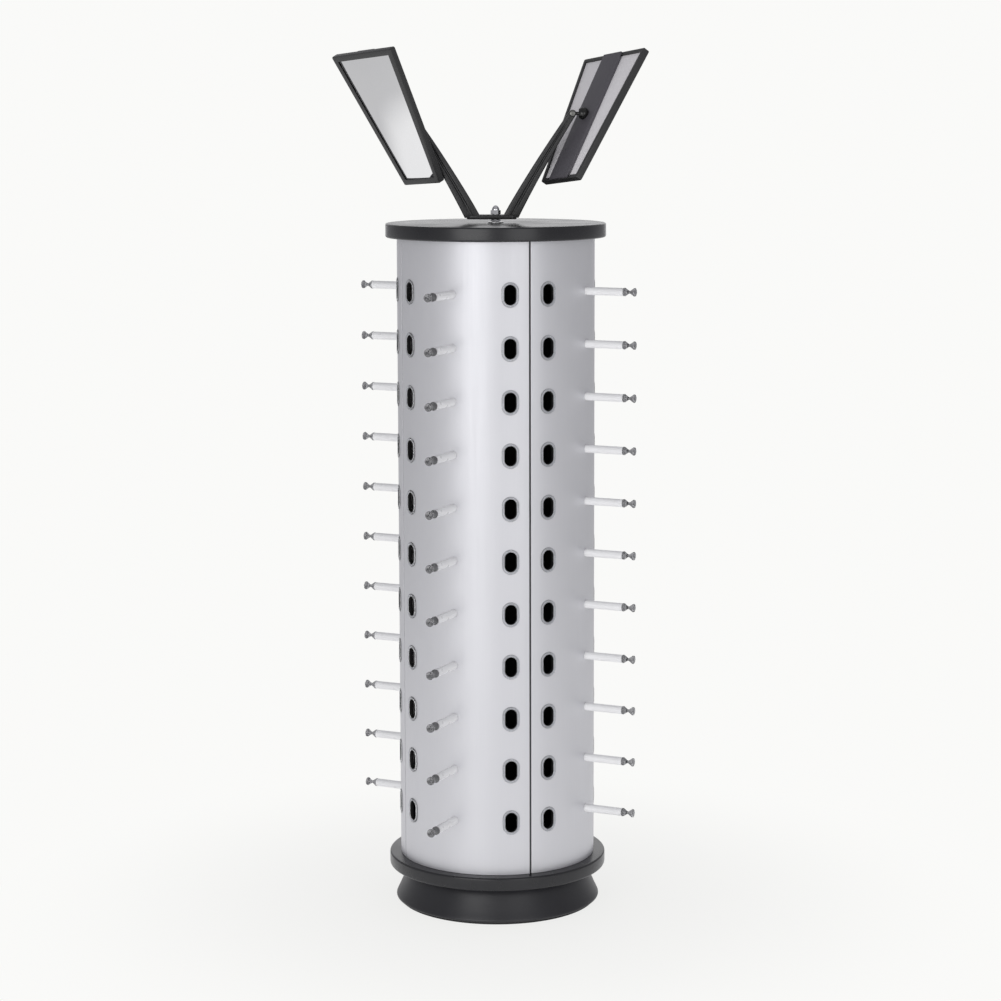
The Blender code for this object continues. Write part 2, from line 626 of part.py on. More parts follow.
def build_bracket():
    centre = Matrix.Translation((BRACKET_SHIFT, 0.0, 0.0))
    body = upright(outline_mesh("mirror_bracket", [bracket_outline()], ARM_DEPTH))
    bracket = add_object("mirror_bracket", body, rack, black_plastic, matrix=centre)
    reach = BRACKET_PLATE_HALF - BRACKET_CORNER
    top = BRACKET_BOTTOM + BRACKET_PLATE_HEIGHT
    depth = BRACKET_PLATE_DEPTH / 2
    chamfer = 0.006
    half = [(reach - chamfer, -depth), (reach, chamfer - depth), (reach, depth - chamfer),
            (reach - chamfer, depth)]
    foot = half + [(-across, -along) for across, along in half]
    plate = outline_mesh("bracket_foot", [foot], BRACKET_PLATE_HEIGHT)
    lift = Matrix.Translation((BRACKET_SHIFT, 0.0, (BRACKET_BOTTOM + top) / 2))
    add_boolean(bracket, hide_cutter(add_object("bracket_foot", plate, cutters, matrix=lift)), "UNION")
    hole = cylinder_mesh("bracket_hole", ROD_CLEARANCE, DRILL_LENGTH, [Matrix.Translation((0, 0, top))],
                         SMALL_SEGMENTS)
    add_boolean(bracket, hide_cutter(add_object("bracket_hole", hole, cutters)))
    for side, name in ((1, "right"), (-1, "left")):
        cut_arm_end(bracket, side, name)
        for face in (-1, 1):
            groove_name = f"{name}_groove_{face + 2}"
            groove = upright(outline_mesh(groove_name, [groove_outline(side)], 2 * GROOVE_DEPTH))
            place = Matrix.Translation((BRACKET_SHIFT, face * ARM_DEPTH / 2, 0.0))
            add_boolean(bracket, hide_cutter(add_object(groove.name, groove, cutters, matrix=place)))


def cut_arm_end(bracket, side, name):
    """Fork the arm's end for the knuckle's lug and drill it for the pivot screw."""
    tip = Vector((BRACKET_SHIFT + side * ARM_TIP.x, 0.0, ARM_TIP.y))
    step = ARM_TIP - arm_point(0.98)
    lean = math.atan2(side * step.x, step.y)
    along = Matrix.Translation(tip) @ Matrix.Rotation(lean, 4, "Y")
    half = LUG_THICKNESS / 2 + GAP
    slot = box_mesh(f"{name}_fork_slot", (-0.01, -half, -LUG_RADIUS - 2 * GAP), (0.01, half, 0.01))
    bore = cylinder_mesh(f"{name}_fork_hole", PIVOT_HOLE, DRILL_LENGTH,
                         [Matrix.Translation(tip) @ Matrix.Rotation(math.pi / 2, 4, "X")], SMALL_SEGMENTS)
    add_boolean(bracket, hide_cutter(add_object(slot.name, slot, cutters, matrix=along)))
    add_boolean(bracket, hide_cutter(add_object(bore.name, bore, cutters)))


def ball_mesh(name, radius, matrix=None):
    mesh = bpy.data.meshes.new(name)
    work = bmesh.new()
    bmesh.ops.create_uvsphere(work, u_segments=BALL_SEGMENTS, v_segments=BALL_RINGS, radius=radius,
                              matrix=matrix or Matrix())
    work.to_mesh(mesh)
    work.free()
    return mesh


def build_knuckle(side, name):
    """A lug in the arm's fork, with a stud that ends in the mirror's ball, and its pivot screw."""
    pivot = add_pivot(f"{name}_knuckle_pivot", (BRACKET_SHIFT + side * ARM_TIP.x, 0.0, ARM_TIP.y))
    across = Matrix.Rotation(math.pi / 2, 4, "X")
    eye = cylinder_mesh(f"{name}_ball_knuckle", LUG_RADIUS, LUG_THICKNESS, [across], SMALL_SEGMENTS)
    lug = add_object(eye.name, eye, rack, black_plastic, parent=pivot)
    ball_place = Matrix.Translation((side * BALL_REACH, 0.0, 0.0))
    ball = ball_mesh(f"{name}_ball", KNUCKLE_BALL_RADIUS, ball_place)
    halfway = Matrix.Translation((side * BALL_REACH / 2, 0.0, 0.0))
    outwards = halfway @ Matrix.Rotation(math.pi / 2, 4, "Y")
    stud = cylinder_mesh(f"{name}_stud", STUD_RADIUS, BALL_REACH - 2 * PIVOT_HOLE, [outwards],
                         SCREW_SEGMENTS)
    bore = cylinder_mesh(f"{name}_lug_hole", PIVOT_HOLE, DRILL_LENGTH, [across], SMALL_SEGMENTS)
    for shape, operation in ((stud, "UNION"), (ball, "UNION"), (bore, "DIFFERENCE")):
        add_boolean(lug, hide_cutter(add_object(shape.name, shape, cutters, parent=pivot)), operation)
    screw = screw_mesh(f"{name}_pivot_screw", ARM_DEPTH + PIVOT_PROUD, PIVOT_HEAD, PIVOT_HEAD_HEIGHT,
                       PIVOT_SHANK)
    seat = pivot.matrix_basis @ Matrix.Translation((0.0, -ARM_DEPTH / 2 - GAP, 0.0)) @ across
    add_object(screw.name, screw, rack, zinc_steel, matrix=seat)


# ---------------------------------------------------------------- mirrors

def trapezoid(inset):
    """The mirror's outline in (x, z), pulled in on every side by the same distance."""
    half_height = MIRROR_HEIGHT / 2
    slope = (MIRROR_TOP_WIDTH - MIRROR_BOTTOM_WIDTH) / 2 / MIRROR_HEIGHT
    pull = inset * math.hypot(1.0, slope)
    top = MIRROR_TOP_WIDTH / 2 - slope * inset - pull
    bottom = MIRROR_BOTTOM_WIDTH / 2 + slope * inset - pull
    high = half_height - inset
    return [(-bottom, -high), (bottom, -high), (top, high), (-top, high)]


def mirror_sheet(name, inset, front, back):
    """A trapezoid sheet between two depths in the mirror's frame."""
    mesh = upright(outline_mesh(name, [trapezoid(inset)], back - front))
    mesh.transform(Matrix.Translation((0.0, (front + back) / 2, 0.0)))
    return mesh


def build_mirror(side_name, side, aim):
    yaw, tilt, roll = (math.radians(value) for value in aim)
    turn = Matrix.Rotation(yaw, 4, "Z") @ Matrix.Rotation(tilt, 4, "X") @ Matrix.Rotation(roll, 4, "Y")
    ball = Vector((BRACKET_SHIFT + side * (ARM_TIP.x + BALL_REACH), 0.0, ARM_TIP.y))
    pivot = add_pivot(f"{side_name}_mirror_ball", ball, turn)
    front = MIRROR_PLANE - MIRROR_DEPTH / 2
    back = MIRROR_PLANE + MIRROR_DEPTH / 2
    lip = front + FRAME_LIP
    beyond = back + MIRROR_DEPTH
    sheet = mirror_sheet(f"{side_name}_mirror_frame", 0.0, front, back)
    frame = add_object(sheet.name, sheet, rack, black_plastic, parent=pivot)
    window = mirror_sheet(f"{side_name}_window", FRAME_BAR, front - MIRROR_DEPTH, beyond)
    rebate = mirror_sheet(f"{side_name}_rebate", FRAME_BAR - FRAME_REBATE, lip, beyond)
    for cutter in (window, rebate):
        add_boolean(frame, hide_cutter(add_object(cutter.name, cutter, cutters, parent=pivot)))
    seat = FRAME_BAR - FRAME_REBATE + GAP
    glass_back = lip + GAP + GLASS_THICKNESS
    glass = mirror_sheet(f"{side_name}_mirror_glass", seat, lip + GAP, glass_back)
    add_object(glass.name, glass, rack, silvered_glass, parent=pivot)
    board_back = glass_back + GAP + BACKING_THICKNESS
    board = mirror_sheet(f"{side_name}_backing_board", seat, glass_back + GAP, board_back)
    add_object(board.name, board, rack, grey_board, parent=pivot)
    strap = build_strap(side_name, pivot, board_back + GAP, back)
    mouth = turn.inverted() @ Vector((-side, 0.0, 0.0))
    build_socket(side_name, pivot, strap, back + STRAP_PROUD, mouth)


def build_strap(side_name, pivot, board_back, frame_back):
    """The bar across the mirror's back, whose two ends clip over the frame."""
    half = STRAP_WIDTH / 2
    outside = frame_back + STRAP_PROUD
    inner_high = MIRROR_HEIGHT / 2 - FRAME_BAR - GAP
    long_high = MIRROR_HEIGHT / 2 + STRAP_OVERHANG
    bar = box_mesh(f"{side_name}_back_strap", (-half, board_back, -inner_high),
                   (half, outside, inner_high))
    strap = add_object(bar.name, bar, rack, black_plastic, parent=pivot)
    ends = box_mesh(f"{side_name}_strap_ends", (-half, frame_back + GAP, -long_high),
                    (half, outside, long_high))
    add_boolean(strap, hide_cutter(add_object(ends.name, ends, cutters, parent=pivot)), "UNION")
    return strap


def build_socket(side_name, pivot, strap, outside, mouth):
    """A round housing on the strap that keeps the ball; its mouth opens towards the pivot screw."""
    housing = ball_mesh(f"{side_name}_ball_socket", SOCKET_RADIUS)
    socket = add_object(housing.name, housing, rack, black_plastic, parent=pivot)
    wide = 1.5 * SOCKET_RADIUS
    base = box_mesh(f"{side_name}_socket_base", (-wide, -2 * wide, -wide), (wide, outside + GAP, wide))
    seat = ball_mesh(f"{side_name}_ball_seat", KNUCKLE_BALL_RADIUS + 2 * GAP)
    length = wide
    opening = bpy.data.meshes.new(f"{side_name}_socket_mouth")
    work = bmesh.new()
    bmesh.ops.create_cone(work, cap_ends=True, segments=SMALL_SEGMENTS, radius1=0.0005,
                          radius2=length * math.tan(MOUTH_HALF_ANGLE), depth=length,
                          matrix=mouth.to_track_quat("Z", "Y").to_matrix().to_4x4()
                          @ Matrix.Translation((0.0, 0.0, length / 2)))
    work.to_mesh(opening)
    work.free()
    seat_object = hide_cutter(add_object(seat.name, seat, cutters, parent=pivot))
    add_boolean(socket, hide_cutter(add_object(base.name, base, cutters, parent=pivot)))
    add_boolean(socket, seat_object)
    add_boolean(socket, hide_cutter(add_object(opening.name, opening, cutters, parent=pivot)))
    add_boolean(strap, seat_object)


# ---------------------------------------------------------------- assembly

clear_scene()
rack = new_collection("revolving_eyewear_rack")
cutters = new_collection("cutters")
black_plastic = new_material("black_plastic", (0.022, 0.022, 0.024), 0.38)
rubber = new_material("rubber", (0.015, 0.015, 0.015), 0.90)
zinc_steel = new_material("zinc_steel", (0.50, 0.50, 0.48), 0.40, 1.0)
chrome = new_material("chrome", (0.72, 0.72, 0.74), 0.12, 1.0)
aluminium = new_material("aluminium", (0.66, 0.66, 0.69), 0.36, 1.0)
clear_plastic = new_material("clear_plastic", (0.72, 0.73, 0.75), 0.15, 0.0, 0.75)
silvered_glass = new_material("silvered_glass", (0.85, 0.86, 0.87), 0.03, 1.0)
grey_board = new_material("grey_board", (0.52, 0.52, 0.54), 0.60)

build_foot()
build_bearing()
build_flange()
build_top_plate()
for panel_index in range(PANEL_COUNT):
    build_panel(panel_index)
    build_joiner(panel_index)
    build_peg_strip(panel_index)
build_tie_rod()
build_bracket()
for side_sign, side_word, side_aim in ((-1, "left", LEFT_AIM), (1, "right", RIGHT_AIM)):
    build_knuckle(side_sign, side_word)
    build_mirror(side_word, side_sign, side_aim)
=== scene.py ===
import json
import math

import bmesh
import bpy
from mathutils import Matrix, Vector


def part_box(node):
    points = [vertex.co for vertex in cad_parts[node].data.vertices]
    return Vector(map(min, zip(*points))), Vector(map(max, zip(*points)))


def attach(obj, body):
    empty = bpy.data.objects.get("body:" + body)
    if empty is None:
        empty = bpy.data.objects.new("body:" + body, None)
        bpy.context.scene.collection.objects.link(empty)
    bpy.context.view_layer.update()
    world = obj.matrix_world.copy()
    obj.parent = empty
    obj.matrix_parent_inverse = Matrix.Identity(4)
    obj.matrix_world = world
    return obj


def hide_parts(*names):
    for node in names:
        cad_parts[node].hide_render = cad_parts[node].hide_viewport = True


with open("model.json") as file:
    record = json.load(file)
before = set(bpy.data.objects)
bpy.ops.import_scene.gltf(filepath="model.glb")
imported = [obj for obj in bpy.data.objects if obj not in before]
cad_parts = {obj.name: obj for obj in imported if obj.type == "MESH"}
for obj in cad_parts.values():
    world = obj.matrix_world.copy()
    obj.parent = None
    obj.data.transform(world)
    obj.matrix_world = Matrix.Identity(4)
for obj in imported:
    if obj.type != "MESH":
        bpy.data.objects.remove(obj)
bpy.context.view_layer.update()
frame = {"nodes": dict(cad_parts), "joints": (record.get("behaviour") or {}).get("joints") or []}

NODES = frame["nodes"]
JOINTS = {joint["name"]: joint for joint in frame["joints"]}
GAP = 0.0003


def reach(node):
    """A node's largest distance from the turning axis."""
    return max(math.hypot(corner.co.x, corner.co.y) for corner in NODES[node].data.vertices)


# Foot and column, read from the frame
PAD_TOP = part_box("base_pad")[1].z
FOOT_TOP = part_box("base_shell")[1].z
FOOT_RADIUS = reach("base_shell")
FLANGE_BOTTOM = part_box("lower_flange")[0].z
FLANGE_RADIUS = reach("lower_flange")
PANEL_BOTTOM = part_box("panel_1")[0].z
PANEL_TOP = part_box("panel_1")[1].z
PLATE_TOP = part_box("top_plate")[1].z
PLATE_RADIUS = reach("top_plate")
COLUMN_RADIUS = reach("panel_1")
PEG_TIP = reach("peg_strip_1")
STRIP_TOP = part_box("peg_strip_1")[1].z
STRIP_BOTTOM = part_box("peg_strip_1")[0].z

SPIGOT_OUTER = 0.1076
SPIGOT_INNER = 0.1040
ROD_HOLE_RADIUS = 0.0035

# Column layout
PANEL_COUNT = 4
PANEL_THICKNESS = 0.0018
QUARTER = math.tau / PANEL_COUNT
SEAM_ANGLE = math.radians(19.5)
SEAM_WIDTH = 0.0018
HOLE_ANGLE = math.radians(11.45)
HOLE_HALF_WIDTH = 0.0072
HOLE_HALF_HEIGHT = 0.0117
ROW_COUNT = 11
ROW_MARGIN = 0.015
ROW_PITCH = (STRIP_TOP - STRIP_BOTTOM - 2 * ROW_MARGIN) / (ROW_COUNT - 1)
TOP_ROW = STRIP_TOP - ROW_MARGIN
STRIP_BACK = 0.1085
STRIP_FRONT = 0.1105
STRIP_HALF_WIDTH = 0.007
PEG_RADIUS = 0.0045
SPOOL_LENGTH = 0.014
SPOOL_RADIUS = 0.0048
SPOOL_WAIST = 0.0016

# Mirror head
BRACKET_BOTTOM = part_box("mirror_bracket")[0].z
BRACKET_PLATE_HEIGHT = 0.005
BRACKET_PLATE_DEPTH = 0.024
BRACKET_PLATE_HALF = 0.0285
LEFT_PIVOT = Vector(JOINTS["left_mirror_tilt"]["pos_m"])
RIGHT_PIVOT = Vector(JOINTS["right_mirror_tilt"]["pos_m"])
LEFT_BALL = Vector(JOINTS["left_mirror_swivel"]["pos_m"])
RIGHT_BALL = Vector(JOINTS["right_mirror_swivel"]["pos_m"])
BRACKET_MIDDLE = (LEFT_PIVOT.x + RIGHT_PIVOT.x) / 2
ARM_FOOT = Vector((0.0233, BRACKET_BOTTOM + BRACKET_PLATE_HEIGHT))
ARM_ELBOW = Vector((0.0559, BRACKET_BOTTOM + 0.062))
ARM_TIP = Vector((RIGHT_PIVOT.x - BRACKET_MIDDLE, RIGHT_PIVOT.z))
ARM_FOOT_HALF = 0.0083
ARM_TIP_HALF = 0.0042
ARM_HALF_DEPTH = 0.005
KNUCKLE_REACH = RIGHT_BALL.x - RIGHT_PIVOT.x
BALL_RADIUS = 0.0046
LUG_RADIUS = 0.0042
LUG_THICKNESS = 0.004
SOCKET_RADIUS = 0.0070
MIRROR_HEIGHT = 0.1680
MIRROR_TOP_WIDTH = 0.118
MIRROR_BOTTOM_WIDTH = 0.070
MIRROR_FRONT = -0.0135
MIRROR_BACK = -0.0055
FRAME_BAR = 0.007
FRAME_REBATE = 0.0025
FRAME_LIP = 0.001
GLASS_THICKNESS = 0.003
BOARD_THICKNESS = 0.0016
STRAP_HALF_WIDTH = 0.017
STRAP_PROUD = 0.0025
LEFT_AIM = (-51.3, 27.8, -3.8)
RIGHT_AIM = (120.4, 31.5, 6.6)

ROUND_STEPS = 160
SMALL_STEPS = 48

GRAIN_STRENGTH = 0.35
BACKDROP = (0.955, 0.955, 0.942, 1.0)
LIGHT_TARGET = Vector((0.0, 0.0, 0.45))


# ---------------------------------------------------------------- materials

def new_material(name):
    material = bpy.data.materials.new(name)
    material.use_nodes = True
    return material, material.node_tree.nodes, material.node_tree.links


def object_noise(nodes, links, scale, detail=3.0, stretch=(1.0, 1.0, 1.0)):
    """Noise fixed to the piece, in its own coordinates, stretched along the axes given."""
    spot = nodes.new("ShaderNodeTexCoord")
    mapping = nodes.new("ShaderNodeMapping")
    mapping.inputs["Scale"].default_value = stretch
    noise = nodes.new("ShaderNodeTexNoise")
    noise.inputs["Scale"].default_value = scale
    noise.inputs["Detail"].default_value = detail
    links.new(spot.outputs["Object"], mapping.inputs["Vector"])
    links.new(mapping.outputs["Vector"], noise.inputs["Vector"])
    return noise.outputs["Fac"]


def spread(nodes, links, factor, low, high):
    """The factor carried from 0..1 to the range low..high."""
    node = nodes.new("ShaderNodeMapRange")
    node.inputs["From Min"].default_value = 0.3
    node.inputs["From Max"].default_value = 0.7
    node.inputs["To Min"].default_value = low
    node.inputs["To Max"].default_value = high
    links.new(factor, node.inputs["Value"])
    return node.outputs["Result"]


def tint(nodes, links, factor, dark, light):
    node = nodes.new("ShaderNodeMix")
    node.data_type = "RGBA"
    node.inputs["A"].default_value = (*dark, 1.0)
    node.inputs["B"].default_value = (*light, 1.0)
    links.new(factor, node.inputs["Factor"])
    return node.outputs["Result"]


def bump(nodes, links, height, distance, strength, shader):
    node = nodes.new("ShaderNodeBump")
    node.inputs["Distance"].default_value = distance
    node.inputs["Strength"].default_value = strength
    links.new(height, node.inputs["Height"])
    links.new(node.outputs["Normal"], shader.inputs["Normal"])


def moulded_plastic(name, dark, light, rough_low, rough_high, grain, grain_depth):
    """Moulded plastic: a fine spark-eroded grain, and broad patches where handling has polished it."""
    material, nodes, links = new_material(name)
    shader = nodes["Principled BSDF"]
    shader.inputs["IOR"].default_value = 1.5
    patches = object_noise(nodes, links, 22.0)
    links.new(tint(nodes, links, patches, dark, light), shader.inputs["Base Color"])
    links.new(spread(nodes, links, patches, rough_low, rough_high), shader.inputs["Roughness"])
    bump(nodes, links, object_noise(nodes, links, grain, 2.0), grain_depth, GRAIN_STRENGTH, shader)
    return material


def satin_aluminium():
    """Anodised sheet with the faint upright drawing lines of its rolling."""
    material, nodes, links = new_material("satin_aluminium")
    shader = nodes["Principled BSDF"]
    shader.inputs["Metallic"].default_value = 0.68
    lines = object_noise(nodes, links, 900.0, 2.0, (1.0, 1.0, 0.012))
    clouds = object_noise(nodes, links, 9.0, 2.0, (1.0, 1.0, 0.4))
    colour = tint(nodes, links, clouds, (0.640, 0.640, 0.668), (0.700, 0.700, 0.730))
    links.new(colour, shader.inputs["Base Color"])
    links.new(spread(nodes, links, lines, 0.42, 0.50), shader.inputs["Roughness"])
    bump(nodes, links, lines, 0.00002, 0.25, shader)
    return material


def plated_metal(name, color, rough_low, rough_high):
    material, nodes, links = new_material(name)
    shader = nodes["Principled BSDF"]
    shader.inputs["Metallic"].default_value = 1.0
    marks = object_noise(nodes, links, 260.0, 4.0)
    darker = tuple(0.9 * value for value in color)
    links.new(tint(nodes, links, marks, darker, color), shader.inputs["Base Color"])
    links.new(spread(nodes, links, marks, rough_low, rough_high), shader.inputs["Roughness"])
    return material


def clear_plastic(name, color, transmission, rough_low, rough_high):
    material, nodes, links = new_material(name)
    shader = nodes["Principled BSDF"]
    shader.inputs["IOR"].default_value = 1.49
    shader.inputs["Transmission Weight"].default_value = transmission
    haze = object_noise(nodes, links, 30.0, 2.0)
    paler = tuple(min(1.0, 1.04 * value) for value in color)
    links.new(tint(nodes, links, haze, color, paler), shader.inputs["Base Color"])
    links.new(spread(nodes, links, haze, rough_low, rough_high), shader.inputs["Roughness"])
    return material


def silvered_glass():
    """Mirror: a bright coat over silver, with hardly visible wiping haze."""
    material, nodes, links = new_material("silvered_glass")
    shader = nodes["Principled BSDF"]
    shader.inputs["Metallic"].default_value = 1.0
    shader.inputs["Coat Weight"].default_value = 0.6
    shader.inputs["Coat Roughness"].default_value = 0.01
    haze = object_noise(nodes, links, 14.0, 3.0, (1.0, 1.0, 0.3))
    colour = tint(nodes, links, haze, (0.90, 0.90, 0.91), (0.94, 0.94, 0.95))
    links.new(colour, shader.inputs["Base Color"])
    links.new(spread(nodes, links, haze, 0.02, 0.06), shader.inputs["Roughness"])
    return material


def fibre_board():
    """Grey backing card: flecked fibres under a dull lacquer."""
    material, nodes, links = new_material("grey_backing")
    shader = nodes["Principled BSDF"]
    shader.inputs["IOR"].default_value = 1.45
    flecks = object_noise(nodes, links, 420.0, 5.0)
    colour = tint(nodes, links, flecks, (0.80, 0.78, 0.81), (0.92, 0.90, 0.92))
    links.new(colour, shader.inputs["Base Color"])
    links.new(spread(nodes, links, flecks, 0.50, 0.66), shader.inputs["Roughness"])
    bump(nodes, links, flecks, 0.00008, 0.4, shader)
    return material


def foam_rubber():
    material, nodes, links = new_material("foam_rubber")
    shader = nodes["Principled BSDF"]
    cells = object_noise(nodes, links, 1400.0, 2.0)
    links.new(tint(nodes, links, cells, (0.012, 0.012, 0.013), (0.030, 0.030, 0.032)),
              shader.inputs["Base Color"])
    shader.inputs["Roughness"].default_value = 0.85
    bump(nodes, links, cells, 0.0003, 0.8, shader)
    return material


gloss_black = moulded_plastic("gloss_black_plastic", (0.009, 0.009, 0.011), (0.014, 0.014, 0.017),
                              0.24, 0.32, 1500.0, 0.00002)
foot_black = moulded_plastic("foot_black_plastic", (0.012, 0.012, 0.015), (0.019, 0.019, 0.023),
                             0.34, 0.42, 1300.0, 0.00004)
frame_black = moulded_plastic("frame_black_plastic", (0.026, 0.026, 0.027), (0.040, 0.040, 0.041),
                              0.34, 0.44, 1300.0, 0.00003)
bracket_black = moulded_plastic("bracket_black_plastic", (0.013, 0.013, 0.014), (0.024, 0.024, 0.025),
                                0.30, 0.40, 1200.0, 0.00003)
ball_black = moulded_plastic("ball_black_plastic", (0.006, 0.006, 0.006), (0.010, 0.010, 0.010),
                             0.10, 0.16, 900.0, 0.00001)
strap_grey = moulded_plastic("strap_grey_plastic", (0.080, 0.076, 0.088), (0.102, 0.096, 0.110),
                             0.46, 0.56, 1100.0, 0.00003)
# Near-black painted shade for the faces inside the column and the grommet sleeves, where only shade falls:
# the panels there are aluminium and the sleeves clear plastic.
painted_shade_black = moulded_plastic("inner_painted_shade", (0.004, 0.004, 0.004), (0.008, 0.008, 0.008),
                              0.60, 0.75, 600.0, 0.00005)
aluminium = satin_aluminium()
zinc_steel = plated_metal("zinc_steel", (0.56, 0.56, 0.54), 0.28, 0.42)
dark_steel = plated_metal("blackened_steel", (0.20, 0.20, 0.19), 0.28, 0.40)
chrome = plated_metal("chrome", (0.78, 0.78, 0.80), 0.07, 0.15)
milky_rod = clear_plastic("milky_acrylic", (0.93, 0.93, 0.94), 0.05, 0.24, 0.34)
# The tips are clear acrylic; their grey tint is painted shade, standing in for the dark edges that
# refraction shows.
shade_tinted_tip = clear_plastic("clear_acrylic_painted_shade", (0.36, 0.36, 0.37), 0.92, 0.03, 0.07)
grommet_clear = clear_plastic("grommet_plastic", (0.86, 0.87, 0.89), 0.90, 0.08, 0.14)
mirror_silver = silvered_glass()
backing_grey = fibre_board()
rubber = foam_rubber()


# ---------------------------------------------------------------- shape helpers

def filleted(corners, radii, steps=4):
    """A closed outline with each corner rounded off by its own radius."""
    points = []
    count = len(corners)
    for index, corner in enumerate(corners):
        here = Vector(corner)
        before = Vector(corners[index - 1]) - here
        after = Vector(corners[(index + 1) % count]) - here
        half = before.angle(after) / 2
        room = 0.48 * min(before.length, after.length)
        back = min(radii[index] / math.tan(half), room)
        radius = back * math.tan(half)
        centre = here + (before.normalized() + after.normalized()).normalized() * radius / math.sin(half)
        first = here + before.normalized() * back - centre
        last = here + after.normalized() * back - centre
        start = math.atan2(first.y, first.x)
        sweep = (math.atan2(last.y, last.x) - start + math.pi) % math.tau - math.pi
        for step in range(steps + 1):
            angle = start + sweep * step / steps
            points.append((centre.x + radius * math.cos(angle), centre.y + radius * math.sin(angle)))
    return points


def flowing(points, steps=5):
    """Points on a smooth curve through the given ones (Catmull-Rom)."""
    spots = [Vector(point) for point in points]
    spots = [2 * spots[0] - spots[1], *spots, 2 * spots[-1] - spots[-2]]
    made = []
    for index in range(1, len(spots) - 2):
        a, b, c, d = spots[index - 1:index + 3]
        for step in range(steps):
            t = step / steps
            made.append(0.5 * (2 * b + (c - a) * t + (2 * a - 5 * b + 4 * c - d) * t * t
                               + (3 * b - a - 3 * c + d) * t * t * t))
    made.append(spots[-2])
    return [tuple(spot) for spot in made]


def finish_mesh(mesh, angle=35.0):
    mesh.shade_smooth()
    mesh.set_sharp_from_angle(angle=math.radians(angle))
    return mesh


def ring_mesh(name, rings, around=False):
    """Quads between closed rings of points; the ends are capped, or joined when the rings go round."""
    work = bmesh.new()
    rows = [[work.verts.new(point) for point in ring] for ring in rings]
    pairs = list(zip(rows, rows[1:]))
    if around:
        pairs.append((rows[-1], rows[0]))
    for row, following in pairs:
        for index in range(len(row)):
            work.faces.new((row[index - 1], row[index], following[index], following[index - 1]))
    if not around:
        work.faces.new(rows[0])
        work.faces.new(rows[-1][::-1])
    bmesh.ops.remove_doubles(work, verts=work.verts, dist=0.000001)
    bmesh.ops.recalc_face_normals(work, faces=work.faces)
    mesh = bpy.data.meshes.new(name)
    work.to_mesh(mesh)
    work.free()
    return finish_mesh(mesh)


def evaluated(item):
    """The mesh that an object ends up as, with its modifiers applied."""
    bpy.context.view_layer.update()
    mesh = bpy.data.meshes.new_from_object(item.evaluated_get(bpy.context.evaluated_depsgraph_get()))
    mesh.name = item.name
    return mesh


def scratch(name, mesh, matrix=None):
    item = bpy.data.objects.new(name, mesh)
    bpy.context.scene.collection.objects.link(item)
    if matrix:
        item.matrix_world = matrix
    return item


def turned_mesh(name, profile, steps=ROUND_STEPS, closed=True):
    """A profile of (radius, height) swept about Z by the Screw modifier, then made a mesh."""
    edges = [(index, index + 1) for index in range(len(profile) - 1)]
    if closed:
        edges.append((len(profile) - 1, 0))
    line = bpy.data.meshes.new(name + "_profile")
    line.from_pydata([(radius, 0.0, height) for radius, height in profile], edges, [])
    item = scratch(name, line)
    screw = item.modifiers.new("turn", "SCREW")
    screw.steps = steps
    screw.render_steps = steps
    screw.use_merge_vertices = True
    screw.merge_threshold = 0.000001
    mesh = evaluated(item)
    bpy.data.objects.remove(item, do_unlink=True)
    work = bmesh.new()
    work.from_mesh(mesh)
    bmesh.ops.remove_doubles(work, verts=work.verts, dist=0.000001)
    bmesh.ops.recalc_face_normals(work, faces=work.faces)
    work.to_mesh(mesh)
    work.free()
    return finish_mesh(mesh)


def combined(name, first, others):
    """One mesh after Boolean steps, cleared of slivers; others are (operation, mesh, matrix)."""
    item = scratch(name, first)
    helpers = []
    for operation, mesh, matrix in others:
        helper = scratch(name + "_helper", mesh, matrix)
        helpers.append(helper)
        modifier = item.modifiers.new("step", "BOOLEAN")
        modifier.operation = operation
        modifier.solver = "EXACT"
        modifier.object = helper
    mesh = evaluated(item)
    for helper in (item, *helpers):
        bpy.data.objects.remove(helper, do_unlink=True)
    work = bmesh.new()
    work.from_mesh(mesh)
    bmesh.ops.dissolve_degenerate(work, edges=work.edges, dist=0.000002)
    work.to_mesh(mesh)
    work.free()
    return finish_mesh(mesh)


def box_mesh(name, low, high):
    work = bmesh.new()
    size = [top - bottom for bottom, top in zip(low, high)]
    middle = [(top + bottom) / 2 for bottom, top in zip(low, high)]
    spread_out = Matrix.Translation(middle) @ Matrix.Diagonal((*size, 1.0))
    bmesh.ops.create_cube(work, size=1.0, matrix=spread_out)
    mesh = bpy.data.meshes.new(name)
    work.to_mesh(mesh)
    work.free()
    return mesh


def prism_mesh(name, outline, low, high, edge=0.0004):
    """A flat outline given thickness along Z, with a small round edge on both faces."""
    levels = ((low, edge), (low + 0.3 * edge, 0.3 * edge), (low + edge, 0.0),
              (high - edge, 0.0), (high - 0.3 * edge, 0.3 * edge), (high, edge))
    rings = []
    for height, inset in levels:
        rings.append([(x, y, height) for x, y in shrunk(outline, inset)])
    return ring_mesh(name, rings)


def shrunk(outline, inset):
    """A closed outline pulled in by an even distance, whichever way round it runs."""
    if inset == 0.0:
        return outline
    count = len(outline)
    area = sum(outline[i - 1][0] * outline[i][1] - outline[i][0] * outline[i - 1][1] for i in range(count))
    way = 1.0 if area > 0 else -1.0
    made = []
    for index in range(count):
        here = Vector(outline[index])
        before = here - Vector(outline[index - 1])
        after = Vector(outline[(index + 1) % count]) - here
        along = (before.normalized() + after.normalized()).normalized()
        inward = Vector((-along.y, along.x)) * way
        made.append(tuple(here + inward * inset))
    return made


def place(name, mesh, body, materials, replaced=(), matrix=None):
    """Put a finished mesh in the scene as a piece that rides on a body."""
    piece = scratch(name, mesh, matrix)
    if not mesh.materials:
        for material in materials:
            mesh.materials.append(material)
    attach(piece, body)
    if replaced:
        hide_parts(*replaced)
    return piece


def facing(angle):
    """A turn that carries +X to the direction at this angle, counted from -Y towards +X."""
    return Matrix.Rotation(angle - math.pi / 2, 4, "Z")


# ---------------------------------------------------------------- foot, flange and top plate

